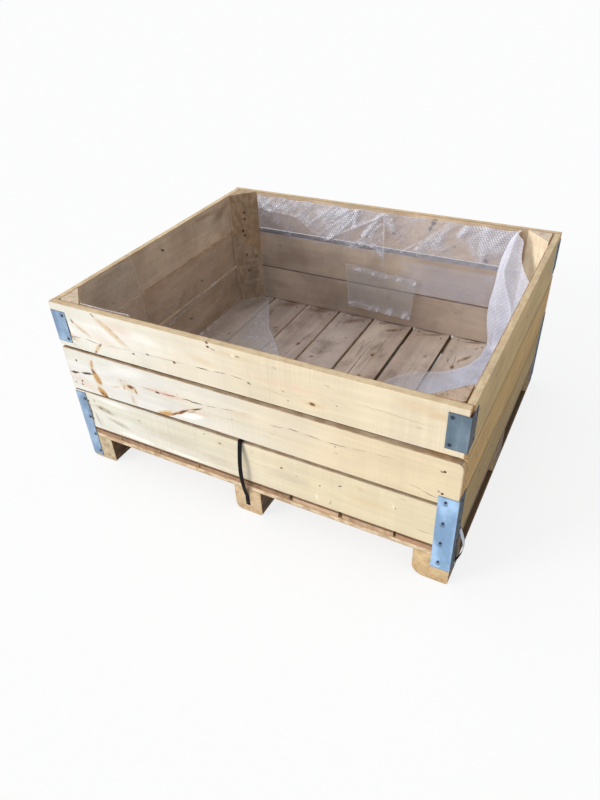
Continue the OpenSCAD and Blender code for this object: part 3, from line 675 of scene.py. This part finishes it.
def zinc(node, seed, tone, dark, dents=(), cloudy=1):
    """Galvanised sheet: dull blue grey with faint spangle, rain marks, dark edges and a dent at each nail.
    Painted shade darkens round each nail and the leg that faces +X.
    """
    k = Kit("zinc_" + node)
    p = k.place()
    q = k.vec("ADD", p, (seed, seed * 0.7, seed * 1.9))
    cells = k.add("ShaderNodeTexVoronoi", feature="F1")
    cells.inputs["Scale"].default_value = 95
    k.put(cells.inputs["Vector"], k.vec("ADD", q, k.vec("SCALE", k.noise(q, 60, 2, colour=True), scale=0.01)))
    spangle = k.split(cells.outputs["Color"])[0]
    cloud = k.noise(k.vec("MULTIPLY", q, (1, 1, 0.45)), 24, 4, 0.6)
    streak = k.drawn(q, (90, 90, 6), 3, 0.6)
    spots = k.noise(q, 160, 2, 0.7)
    light = k.mul(k.step(spangle, 0, 1, 0.97, 1.03, False),
                  k.step(cloud, 0.3, 0.7, 1 - 0.14 * cloudy, 1 + 0.08 * cloudy))
    light = k.mul(light, k.step(streak, 0.3, 0.7, 0.95, 1.04))
    colour = k.lit(k.mix(k.step(cloud, 0.4, 0.7), dark, tone), light)
    colour = k.mix(k.step(spots, 0.66, 0.78, 0, 0.5), colour, rgb(0x606870))
    lo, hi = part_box(node)
    near = k.split(k.vec("MINIMUM", k.vec("SUBTRACT", p, tuple(lo)), k.vec("SUBTRACT", tuple(hi), p)))
    rim = k.plus(near[2], k.mul(k.noise(p, 70, 2), 0.002))
    colour = k.mix(k.step(rim, 0.0042, 0.0016, 0, 0.55), colour, rgb(0x4E5662))
    # painted shade: the leg that faces +X, away from the light, is almost black
    shaded_side = k.step(k.split(k.facing())[0], 0.6, 0.85)
    colour = k.mix(k.mul(shaded_side, 0.95), colour, rgb(0x1A202A))
    height = k.plus(k.mul(cloud, 0.8), k.mul(spangle, 0.05))
    for dent in dents:
        d = k.vec("LENGTH", k.vec("SUBTRACT", p, dent))
        height = k.minus(height, k.step(d, 0.013, 0.003, 0, 0.9))
        # painted shade: a dark patch round each nail head
        colour = k.mix(k.step(d, 0.0085, 0.0038, 0, 0.55), colour, rgb(0x3E4E62))
    k.principled(Base_Color=colour, Metallic=0.04, Specular_IOR_Level=0.14,
                 Roughness=k.step(cloud, 0.3, 0.7, 0.62, 0.48), Normal=k.bump(height, 0.0022, 0.55))
    dress(k.mat, node)


# half the box's length and depth, and the thickness of the angles' sheet, in metres
half_long, half_deep, sheet = 0.6, 0.5, 0.0015
# for each size of angle: how far in its nails lie, their heights, and how much higher the side leg's are
ANGLES = {"small": (0.040, (0.012, 0.088), 0), "tall": (0.031, (0.018, 0.089, 0.160, 0.231), 0.008)}
ZINC_TONES = {"small_angle_front_right": pair(0x778794, 0x647583), "front_left": pair(0x9CB4CE, 0x849CB8),
              "other": pair(0xA4C2E2, 0x8AAACC)}
CORNERS = {"front_left": (-1, -1), "front_right": (1, -1), "back_right": (1, 1), "back_left": (-1, 1)}
for i, (name, (sx, sy)) in enumerate(CORNERS.items()):
    for size, (nail_in, heights, lift) in ANGLES.items():
        node = f"{size}_angle_{name}"
        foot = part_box(node)[0].z
        dents = []
        for dz in heights:
            dents.append((sx * (half_long - nail_in), sy * (half_deep + sheet), foot + dz))
            dents.append((sx * (half_long + sheet), sy * (half_deep - nail_in), foot + dz + lift))
        dull = node in ZINC_TONES
        tone, dark = ZINC_TONES.get(node) or ZINC_TONES.get(name) or ZINC_TONES["other"]
        zinc(node, 3 + i if dull else 7 + 2 * i + len(size), tone, dark, dents, 0.4 if dull else 1)


def rusty(name, dark, light, metallic, reach, *targets):
    """Rusty nail steel, its two tones mixed by noise up to that reach."""
    k = Kit(name)
    rust = k.noise(k.place(), 240, 3, 0.7)
    k.principled(Base_Color=k.mix(k.step(rust, 0.4, reach), dark, light), Metallic=metallic,
                 Roughness=k.step(rust, 0.3, 0.7, 0.55, 0.8), Normal=k.bump(rust, 0.0005, 0.5))
    dress(k.mat, *targets)


rusty("nail_steel", rgb(0x3A2E2A), rgb(0x68544A), 0.3, 0.65, "wall_nails", "deck_nails", "foot_nails")
rusty("clout_steel", rgb(0x1C202A), rgb(0x3A404E), 0.2, 0.7, "angle_nails")

k = Kit("black_strap")
p = k.place()
ps = k.split(p)
weave = k.mul(k.math("SINE", k.mul(ps[0], 2600)), k.math("SINE", k.mul(ps[2], 2200)))
scuff = k.noise(k.vec("MULTIPLY", p, (1, 1, 0.12)), 150, 3, 0.65)
k.principled(Base_Color=k.mix(k.step(scuff, 0.5, 0.75), rgb(0x0E0A0E), rgb(0x20191E)),
             Roughness=k.step(scuff, 0.3, 0.7, 0.5, 0.72), Specular_IOR_Level=0.1,
             Normal=k.bump(k.plus(weave, scuff), 0.0004, 0.5))
dress(k.mat, "front_strap")

k = Kit("grey_band")
facing = k.split(k.facing())
scuff = k.noise(k.vec("MULTIPLY", k.place(), (1, 1, 0.15)), 120, 3, 0.6)
# painted shade: the band's face towards the wall is dark, its other faces pale
outer_face = k.step(facing[0], -0.1, 0.35)
flat_side = k.step(k.math("ABSOLUTE", facing[1]), 0.6, 0.9)
pale = k.mix(k.step(scuff, 0.4, 0.7), rgb(0xC4CCD6), rgb(0x969EAA))
k.principled(Base_Color=k.mix(k.math("MAXIMUM", outer_face, flat_side), rgb(0x2C2A2E), pale), Metallic=0.25,
             Roughness=k.step(scuff, 0.3, 0.7, 0.3, 0.5), Normal=k.bump(scuff, 0.0006, 0.4))
dress(k.mat, "side_band")

# Bubble film: each sheet is a grid of points, u across and v down it from 0 to 1, with a haze at each that
# also carries painted highlights and glints


def waves(seed, count, low, high):
    """A smooth noise of u and v from -1 to 1, whose waves are from low to high cycles a metre."""
    r = np.random.default_rng(seed)
    f = r.uniform(low, high, count)
    turn = r.uniform(0, 2 * np.pi, count)
    phase = r.uniform(0, 2 * np.pi, count)
    a = 1 / np.sqrt(f)
    a /= a.sum()

    def at(u, v):
        total = 0
        for i in range(count):
            reach = u * np.cos(turn[i]) + v * np.sin(turn[i])
            total = total + a[i] * np.sin(2 * np.pi * f[i] * reach + phase[i])
        return total
    return at


def creases(seed, count, turn, spread, pitch, sharp=5):
    """Sharp fold lines from 0 to 1, that lie near one direction, in radians."""
    r = np.random.default_rng(seed)
    d = turn + r.uniform(-spread, spread, count)
    f = 1 / (pitch * r.uniform(0.6, 1.7, count))
    phase = r.uniform(0, 1, count)
    drift = waves(seed + 1, 5, 1, 4)
    fade = waves(seed + 2, 5, 1.5, 5)

    def at(u, v):
        best = np.zeros(np.broadcast(u, v).shape)
        for i in range(count):
            x = (u * np.sin(d[i]) - v * np.cos(d[i])) * f[i] + phase[i] + 0.35 * drift(u + i, v)
            line = (1 - np.abs(2 * (x % 1) - 1)) ** sharp
            best = np.maximum(best, line * np.clip(0.55 + 1.4 * fade(u, v + 2.3 * i), 0, 1))
        return best
    return at


def smooth(x, lo, hi):
    """0 up to lo and 1 from hi on, with a soft rise between."""
    x = np.clip((np.asarray(x, float) - lo) / (hi - lo), 0, 1)
    return x * x * (3 - 2 * x)


def peak(x, wide):
    """1 where x is 0, falling to almost nothing at twice that width."""
    return np.exp(-(x / wide) ** 2)


def ridge(x, z, x0, z0, x1, z1, wide):
    """1 along the line between two points, falling off as a peak does to both sides, in metres."""
    span = (x1 - x0) ** 2 + (z1 - z0) ** 2
    t = np.clip(((x - x0) * (x1 - x0) + (z - z0) * (z1 - z0)) / max(span, 1e-9), 0, 1)
    return np.exp(-((x - x0 - t * (x1 - x0)) ** 2 + (z - z0 - t * (z1 - z0)) ** 2) / wide ** 2)


def glitter(seed, shape, lo, hi, own=1, share=0, moves=()):
    """Random sparkle from 0 to 1, each spot spread by a share of itself to the places that moves name."""
    spots = np.random.default_rng(seed).random(shape)
    spread = sum(np.roll(spots, move, (0, 1)) for move in moves)
    return smooth(own * spots + share * spread, lo, hi)


def grid(rows, cols):
    v, u = np.meshgrid(np.linspace(0, 1, rows), np.linspace(0, 1, cols), indexing="ij")
    return u, v


def along(path, s):
    """Points at s, from 0 to 1 of the length of a polyline."""
    path = np.array(path, float)
    far = np.concatenate([[0], np.cumsum(np.linalg.norm(np.diff(path, axis=0), axis=1))])
    far /= far[-1]
    return np.stack([np.interp(s, far, path[:, i]) for i in range(path.shape[1])], -1)


# where film lies, in metres: before the back and side walls, at the corner posts' edges and on the deck
BACK_Y, SIDE_X = 0.4785, 0.5775
POST_X, POST_Y = 0.5065, 0.4045
DECK_Z = 0.1322


def draped(foot, ends, top, s, down, bend):
    """A sheet that comes down a wall from the height top, turns on a bend and lies on the deck up to ends.
    Gives its places on the plan, its heights, and its turn, from 0 on the wall to 1 on the deck."""
    f = along(foot, s)
    e = along(ends, s)
    run = np.maximum(np.linalg.norm(e - f, axis=-1), 0.004)
    way = (e - f) / run[..., None]
    fall = top - DECK_Z
    b = np.minimum(bend, np.minimum(run, fall))
    arc = b * np.pi / 2
    total = (fall - b) + arc + (run - b)
    d = down * total
    on_wall = np.minimum(d, fall - b)
    turn = np.clip(d - (fall - b), 0, arc) / b
    flat = np.clip(d - (fall - b) - arc, 0, None)
    away = b * (1 - np.cos(turn)) + flat
    z = top - on_wall - b * np.sin(turn)
    return f + way * away[..., None], z, turn / (np.pi / 2)


def flat_places(points):
    """Lengths along the rows and down the columns of a grid, in metres."""
    across = np.linalg.norm(np.diff(points, axis=1, prepend=points[:, :1]), axis=2).cumsum(axis=1)
    down = np.linalg.norm(np.diff(points, axis=0, prepend=points[:1]), axis=2).cumsum(axis=0)
    return np.stack([np.broadcast_to(across.mean(0, keepdims=True), down.shape), down], 2)


def sheet_faces(rows, cols):
    """Faces of a closed sheet on a grid: its top, its underside and the strip round its edge."""
    spot = np.arange(rows * cols).reshape(rows, cols)
    top = np.stack([spot[:-1, :-1], spot[:-1, 1:], spot[1:, 1:], spot[1:, :-1]], 2).reshape(-1, 4)
    ring = np.concatenate([spot[0], spot[1:, -1], spot[-1, -2::-1], spot[-2:0:-1, 0]])
    after = np.roll(ring, -1)
    strip = np.stack([ring, ring + spot.size, after + spot.size, after], 1)
    return np.concatenate([top, top[:, ::-1] + spot.size, strip])


def sheet_mesh(name, points, haze_and_shine, thick=0.0006):
    """A closed thin sheet on a grid of points, with its haze, painted highlights included, and its flat place
    at each.
    """
    du, dv = np.gradient(points, axis=1), np.gradient(points, axis=0)
    normal = np.cross(du, dv)
    normal /= np.maximum(np.linalg.norm(normal, axis=2, keepdims=True), 1e-12)
    half = normal * thick / 2
    both = np.concatenate([(points + half).reshape(-1, 3), (points - half).reshape(-1, 3)])
    faces = sheet_faces(*points.shape[:2])
    mesh = bpy.data.meshes.new(name)
    mesh.from_pydata(both.tolist(), [], faces.tolist())
    mesh.polygons.foreach_set("use_smooth", np.ones(len(faces), bool))
    layer = mesh.attributes.new("haze_and_shine", "FLOAT", "POINT")
    layer.data.foreach_set("value", np.tile(haze_and_shine.ravel(), 2).astype(np.float32))
    flat = np.tile(flat_places(points).reshape(-1, 2), (2, 1))
    loops = np.zeros(len(mesh.loops), np.int32)
    mesh.loops.foreach_get("vertex_index", loops)
    mesh.uv_layers.new(name="flat_place").data.foreach_set("uv", flat[loops].astype(np.float32).ravel())
    mesh.validate()
    mesh.update()
    obj = bpy.data.objects.new(name, mesh)
    bpy.context.scene.collection.objects.link(obj)
    area = float(np.linalg.norm(np.cross(du, dv), axis=2)[:-1, :-1].sum())
    print(f"{name}: {haze_and_shine.size} points, one side {area:.3f} m2")
    return obj


def film(name, bubbles=1, clear=0.08, milk=0.8, tint=(0.86, 0.86, 0.90), pitch=0.0105, dash=1):
    """Thin polyethylene film with bubbles in staggered rows, drawn out to dashes. The haze of the mesh says
    how milky or creased it is, and where highlights and glints are painted in, whiter, bluer and more opaque."""
    k = Kit(name)
    haze_and_shine = k.add("ShaderNodeAttribute", attribute_name="haze_and_shine").outputs["Fac"]
    uv = k.add("ShaderNodeUVMap", uv_map="flat_place").outputs[0]
    half_w, half_h = pitch / 2, pitch * 1.732 / 2
    diagonal = 0.7071
    near = []
    for dx, dy in ((0, 0), (half_w, half_h)):
        cell = k.vec("WRAP", k.vec("ADD", uv, (dx, dy, 0)), (half_w, half_h, 1), (-half_w, -half_h, -1))
        part = k.split(cell)
        along_dash = k.mul(k.plus(part[0], part[1]), diagonal * dash)
        across_dash = k.mul(k.minus(part[0], part[1]), diagonal)
        near.append(k.vec("LENGTH", k.join(along_dash, across_dash, 0)))
    d = k.math("MINIMUM", near[0], near[1])
    dome = k.step(d, pitch * 0.46, pitch * 0.1)
    # painted glints: a spot on each bubble where the film is more opaque
    glint = k.step(d, pitch * 0.36, pitch * 0.14)
    fine = k.noise(uv, 160, 3, 0.7)
    cloud = k.noise(uv, 14, 3, 0.6)
    # painted sparkle, where the hazy film is made more opaque
    spark = k.step(fine, 0.58, 0.72)
    seen_dots = k.step(haze_and_shine, 0.14, 0.6, 0, bubbles)
    alpha = k.mul(k.plus(clear, k.mul(haze_and_shine, milk)), k.step(cloud, 0.3, 0.7, 0.82, 1.13))
    alpha = k.mul(alpha, k.plus(1, k.mul(seen_dots, k.minus(k.mul(glint, 0.95), 0.32))))
    alpha = k.math("ADD", alpha, k.mul(k.mul(spark, haze_and_shine), 0.45), clamp=True)
    # painted highlight: the hazier film is lighter and turns blue white
    light = k.math("ADD", 0.80, k.mul(haze_and_shine, 0.35), clamp=True)
    colour = k.lit(k.mix(k.step(haze_and_shine, 0.12, 0.55), (*tint, 1), (0.87, 0.885, 1, 1)), light)
    relief = k.mul(dome, k.plus(0.12 * bubbles, k.mul(seen_dots, 0.88)))
    k.principled(Base_Color=colour, Roughness=0.2, Alpha=alpha,
                 Normal=k.bump(k.plus(relief, k.mul(fine, 0.25)), 0.0022, 0.6))
    return k.mat


def lay(name, points, haze_and_shine, material, flat, held, rests, slot="bubble_film"):
    """Makes one film, which takes the place of its solid and rides with the box."""
    obj = sheet_mesh(f"liner_{name}_film", points, np.clip(haze_and_shine, 0, 1))
    obj.data.materials.append(material)
    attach(obj, "root")
    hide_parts("liner_" + name)


# painted highlights on the back film, along lines: from and to, half width and power
BACK_SHINE = (
    (-0.487, 0.54, -0.448, 0.512, 0.011, 0.55), (-0.46, 0.54, -0.36, 0.522, 0.012, 0.3),
    (-0.33, 0.545, -0.268, 0.558, 0.014, 0.35), (-0.31, 0.505, -0.28, 0.495, 0.016, 0.3),
    (-0.225, 0.528, -0.13, 0.548, 0.017, 0.5), (-0.195, 0.446, -0.12, 0.524, 0.013, 0.45),
    (-0.15, 0.47, -0.1, 0.53, 0.008, 0.35), (-0.084, 0.56, -0.096, 0.5, 0.007, 0.65),
    (-0.058, 0.47, -0.002, 0.54, 0.009, 0.85), (-0.036, 0.47, 0.006, 0.52, 0.005, 0.45),
    (-0.07, 0.44, -0.05, 0.456, 0.01, 0.3), (0.026, 0.556, 0.052, 0.508, 0.014, 0.5),
    (0.085, 0.43, 0.262, 0.552, 0.005, 0.3), (0.15, 0.446, 0.262, 0.553, 0.016, 0.35),
    (0.196, 0.47, 0.25, 0.545, 0.012, 0.55), (0.16, 0.45, 0.215, 0.47, 0.012, 0.3),
    (0.288, 0.52, 0.312, 0.556, 0.009, 0.75), (0.374, 0.55, 0.364, 0.45, 0.013, 0.42),
    (0.33, 0.5, 0.345, 0.47, 0.01, 0.3), (0.42, 0.545, 0.4, 0.5, 0.014, 0.25),
    (-0.025, 0.438, 0.016, 0.405, 0.012, 0.4), (-0.13, 0.426, -0.09, 0.42, 0.01, 0.25),
)


def back_film():
    """Back wall: doubled and wrinkled on its left half, single on its right half."""
    u, v = grid(170, 380)
    x = -0.498 + 0.976 * u
    z = 0.566 - 0.004 * np.abs(np.sin(9 * np.pi * u)) - 0.431 * v
    big = waves(11, 9, 1.2, 5)
    patches = waves(13, 9, 3, 11)
    fold = creases(21, 5, math.radians(34), 0.3, 0.05, 3)
    steep_fold = creases(27, 4, math.radians(58), 0.4, 0.04, 5)
    lines = np.maximum(fold(x, z), 0.8 * steep_fold(x, z))
    patch = np.clip(0.5 + 1.1 * patches(x + 0.6 * z, z), 0, 1)
    doubled = 1 - smooth(x, 0.012, 0.022)
    high = smooth(z, 0.395, 0.44)
    amount = 0.35 + 0.65 * high
    # where the doubled film is folded over: hazier above this line than below it
    turned = z - np.interp(x, [-0.50, -0.44, -0.33, -0.27, -0.212, 0.016],
                           [0.520, 0.508, 0.500, 0.455, 0.427, 0.554])
    above = smooth(turned + 0.012 * patches(z, x), -0.022, 0.024)
    shine = np.zeros_like(x)
    for *line, power in BACK_SHINE:
        shine = np.maximum(shine, power * ridge(x, z, *line))
    out = 0.0035 + 0.004 * (1 + big(x, z)) * amount + 0.003 * lines * amount + 0.004 * shine
    out += 0.003 * peak(turned, 0.006) * doubled * high

    # painted glints, which with the shine lines whiten the film as painted highlights
    sparkle = glitter(61, x.shape, 0.5, 0.85, 0.5, 0.125, ((0, 1), (1, 0), (1, 1), (0, 2)))
    hem = peak(z - 0.416 - 0.003 * np.sin(x * 60), 0.0045)
    hem = hem * smooth(x, -0.44, -0.38) * (1 - smooth(x, -0.24, -0.19))
    edge = peak(x - 0.018, 0.0022) * smooth(z, 0.32, 0.335)
    haze_and_shine = 0.05 + high * (0.065 + 0.035 * doubled + 0.12 * doubled * above)
    haze_and_shine += 0.10 * lines * high * (0.2 + 0.8 * patch)
    haze_and_shine += 0.05 * high * patch ** 2
    haze_and_shine += shine * (0.66 + 0.45 * lines + 0.35 * patch) * (0.5 + 1.1 * sparkle)
    haze_and_shine += 0.24 * hem * (0.2 + sparkle)
    haze_and_shine += 0.10 * doubled * peak(turned, 0.003) * (x > -0.22)
    haze_and_shine += high * 0.24 * sparkle * (0.3 + patch) * (0.4 + 0.6 * doubled)
    haze_and_shine += 0.28 * smooth(x, 0.26, 0.36) * smooth(z, 0.45, 0.51)
    haze_and_shine += 0.20 * smooth(x, 0.06, 0.16) * smooth(z, 0.275, 0.285) * (1 - smooth(z, 0.39, 0.41))
    haze_and_shine += (0.12 + 0.35 * high) * edge
    haze_and_shine += 0.2 * peak(v - 0.004, 0.006)
    return np.stack([x, BACK_Y - out, z], 2), haze_and_shine


def left_film():
    """Left wall: comes down it between the corner posts and lies on the deck beside it."""
    u, v = grid(230, 300)
    foot = ((-0.33, -0.4775), (-POST_X, -0.4775), (-SIDE_X, -POST_Y), (-SIDE_X, POST_Y), (-POST_X, 0.4765),
            (-0.478, 0.4765))
    ends = ((0.10, -0.455), (0.02, -0.30), (-0.110, -0.10), (-0.224, 0.097), (-0.295, 0.186), (-0.348, 0.243),
            (-0.471, 0.452), (-0.474, 0.470))
    f = along(foot, u)
    foot_x, y = f[..., 0], f[..., 1]
    top = 0.425 + 0.144 * (1 - smooth(y, -0.178, -0.150))
    top = top - 0.098 * np.clip((y - POST_Y) / 0.072, 0, 1)
    top = top - 0.006 * (y > -0.16) * np.sin(y * 17) ** 2 + 0.0015 * waves(31, 5, 3, 9)(y, foot_x)
    past = np.clip((-0.36 - y) / 0.115, 0, 1)
    top = top - 0.034 * np.sin(np.pi * past) ** 2 + 0.005 * past
    xy, z, turn = draped(foot, ends, top, u, v, 0.045)
    on_wall = 1 - turn
    wrinkle = waves(33, 9, 2, 7)
    fold = creases(35, 4, math.radians(10), 0.5, 0.12, 5)
    inward = np.stack([np.where((foot_x < -POST_X - 1e-4) | (y > 0), 0.9, 0),
                       np.where(y < -0.4, 0.9, np.where(y > 0.4, -0.9, 0))], -1)
    size = 0.0035 * (1 + wrinkle(y + foot_x, z)) + 0.004 * fold(y, z)
    xy = xy + inward * (size * on_wall)[..., None]
    px, py = xy[..., 0], xy[..., 1]
    z = z + turn * (0.0012 + 0.0016 * (1 + waves(37, 9, 2, 8)(px, py)))

    # painted glints, strongest along the crease and on the deck
    sparkle = glitter(63, z.shape, 0.62, 0.9, 0.7, 0.3, ((0, 1),))
    on_floor = smooth(turn, 0.75, 1)
    far_edge = smooth(v, 0.45, 0.98)
    crease = peak(z - (0.268 + 0.010 * np.sin(y * 9) + 0.03 * smooth(y, 0.1, 0.4)), 0.004)
    crease = crease * on_wall * smooth(y, -0.14, -0.05)
    upright = peak(y + 0.165, 0.003) * on_wall * smooth(z, 0.31, 0.335)
    fold_x = np.interp(py, [0.10, 0.20, 0.30, 0.46], [-0.50, -0.478, -0.474, -0.474])
    folded = smooth(px - fold_x, -0.004, 0.006)
    haze_and_shine = 0.02 + 0.05 * on_wall * (y < -0.16)
    haze_and_shine += on_floor * (0.01 + folded * (0.06 + 0.19 * far_edge))
    haze_and_shine += 0.08 * fold(y, z) * on_wall
    haze_and_shine += 0.36 * sparkle * on_floor * (0.25 + 0.75 * folded * far_edge)
    haze_and_shine += 0.10 * sparkle * on_wall
    haze_and_shine += crease * (y < 0.40) * (0.04 + 1.2 * sparkle)
    haze_and_shine += 0.12 * upright
    haze_and_shine += 0.14 * peak(v, 0.005) * (0.5 + 2 * past)
    haze_and_shine += 0.6 * sparkle * peak(turn - 0.55, 0.10) * smooth(y, -0.10, 0) * (1 - smooth(y, 0.20, 0.32))
    haze_and_shine += 0.22 * peak(1 - v, 0.006)
    haze_and_shine += 0.10 * peak(py - 0.15 - 0.2 * (px + 0.47), 0.004) * on_floor
    return np.stack([px, py, z], 2), haze_and_shine


def right_film():
    """Back right corner: hangs from the post, falls beside the right wall and spreads over the deck."""
    u, v = grid(260, 330)
    foot = ((0.432, 0.470), (0.470, 0.447), (0.512, 0.425), (0.553, 0.385), (0.5745, 0.33), (SIDE_X, 0.10),
            (SIDE_X, -POST_Y), (POST_X, -0.4765), (0.33, -0.4765))
    ends = ((0.434, 0.462), (0.430, 0.376), (0.412, 0.307), (0.377, 0.257), (0.335, 0.226), (0.271, 0.203),
            (0.218, 0.155), (0.187, 0.113), (0.180, -0.05), (0.19, -0.25), (0.22, -0.45))
    f = along(foot, u)
    foot_x, foot_y = f[..., 0], f[..., 1]
    top = np.interp(u, [0, 0.02, 0.036, 0.055, 0.075, 0.10, 0.122, 0.15, 0.2, 0.45, 0.7, 1],
                    [0.572, 0.571, 0.569, 0.552, 0.522, 0.475, 0.430, 0.405, 0.385, 0.36, 0.345, 0.33])
    top = top + 0.006 * np.sin(u * 1.9 * 9) * smooth(u, 0.1, 0.3)
    xy, z, turn = draped(foot, ends, top, u, v, 0.06)
    # the hanging part keeps to the outline that its near edge has in the photograph
    near_x = np.interp(z, [0.131, 0.20, 0.32, 0.42, 0.47, 0.50, 0.54, 0.572],
                       [0.432, 0.429, 0.427, 0.431, 0.438, 0.446, 0.458, 0.480])
    hung_x = near_x + (0.512 - near_x) * np.clip((foot_x - 0.432) / 0.080, 0, 1)
    xy[..., 0] = np.where(u < 0.076, xy[..., 0] * turn + hung_x * (1 - turn), xy[..., 0])
    hills = waves(41, 9, 3, 9)
    ribs = np.sin(2 * np.pi * (foot_x - foot_y) * 11 + 2.2 * hills(foot_y, z * 0.6))
    size = (0.010 + 0.010 * ribs) * (1 - turn) * np.where(u < 0.2, 1, 0.35)
    inward = np.stack([np.full_like(u, -0.7), np.where(u < 0.2, -0.4, np.where(u > 0.82, 0.6, 0))], -1)
    xy = xy + inward * (size + 0.001)[..., None]
    px, py = xy[..., 0], xy[..., 1]
    z = z + turn * (0.0012 + 0.004 * (1 + waves(43, 9, 2, 7)(px, py)))

    # painted glints on the hanging film and on the deck
    sparkle = glitter(65, z.shape, 0.6, 0.95)
    fold = creases(45, 4, math.radians(80), 0.5, 0.10, 5)
    bound = px - np.interp(z, [0.30, 0.34, 0.39, 0.44, 0.55], [0.50, 0.485, 0.464, 0.452, 0.47])
    strip = smooth(px, 0.41, 0.43) * (1 - smooth(bound, -0.004, 0.004))
    near_wall = smooth(px, 0.25, 0.42)
    on_deck = smooth(turn, 0.55, 1)
    hanging = 1 - on_deck
    haze_and_shine = 0.38 + on_deck * (-0.10 + 0.20 * near_wall + 0.10 * sparkle)
    haze_and_shine += (0.10 * sparkle + 0.36 * strip + 0.3 * peak(bound, 0.003) + 0.12 * fold(foot_y, z)) * hanging
    haze_and_shine += 0.12 * fold(px, py) * on_deck
    haze_and_shine += 0.20 * smooth(px, 0.495, 0.52) * hanging
    haze_and_shine *= 1 - 0.55 * on_deck * smooth(v, 0.70, 1) * (1 - near_wall)
    haze_and_shine += 0.25 * peak(v, 0.005)
    haze_and_shine += 0.22 * near_wall * peak(1 - v, 0.005)
    haze_and_shine += 0.3 * peak(u, 0.003)
    return np.stack([px, py, z], 2), haze_and_shine


def patch_film():
    """A loose, clear patch before the film on the back wall."""
    u, v = grid(80, 120)
    corners = np.array([[-0.127, 0.356], [0.154, 0.336], [0.138, 0.172], [-0.110, 0.181]])
    shares = ((1 - u) * (1 - v), u * (1 - v), u * v, (1 - u) * v)
    xz = sum(corner * share[..., None] for corner, share in zip(corners, shares))
    x, z = xz[..., 0], xz[..., 1]
    wrinkle = waves(51, 9, 4, 14)
    fold = creases(53, 4, math.radians(35), 0.8, 0.04, 5)(x, z)
    border = peak(1 - v, 0.15) + 0.7 * peak(v - 0.09, 0.05) * smooth(u, 0.06, 0.2)
    y = BACK_Y - 0.015 - 0.004 * (1 + wrinkle(x, z)) - 0.006 * fold * border
    haze_and_shine = 0.10 + 0.85 * fold * np.clip(border, 0, 1) + 0.1 * border
    haze_and_shine += 0.16 * (peak(u, 0.01) + peak(1 - u, 0.01) + peak(v, 0.015))
    return np.stack([x, y, z], 2), haze_and_shine


wrinkled = film("film_back", clear=0.04, milk=0.85, tint=(0.84, 0.85, 1), pitch=0.0095, dash=0.62)
lay("back", *back_film(), wrinkled,
    (0.98, 0.44), "hung", ["back_board_top", "back_board_middle", "back_board_bottom"])
lay("left", *left_film(), film("film_left", bubbles=0.4, clear=0.03, milk=0.9, tint=(0.98, 0.88, 0.77)),
    (1.10, 0.62), "draped", ["left_board_top", "left_board_middle", "deck_board_1", "deck_board_2"])
lay("right", *right_film(), film("film_right", bubbles=0.3, clear=0.05, milk=1, tint=(0.90, 0.89, 0.96)),
    (1.30, 0.48), "hung", ["back_board_top", "post_back_right", "deck_board_7", "deck_board_8"])
lay("patch", *patch_film(), film("film_patch", bubbles=0.25, clear=0.06, milk=0.85),
    (0.27, 0.165), "hung", ["liner_back_film"], slot="clear_film")
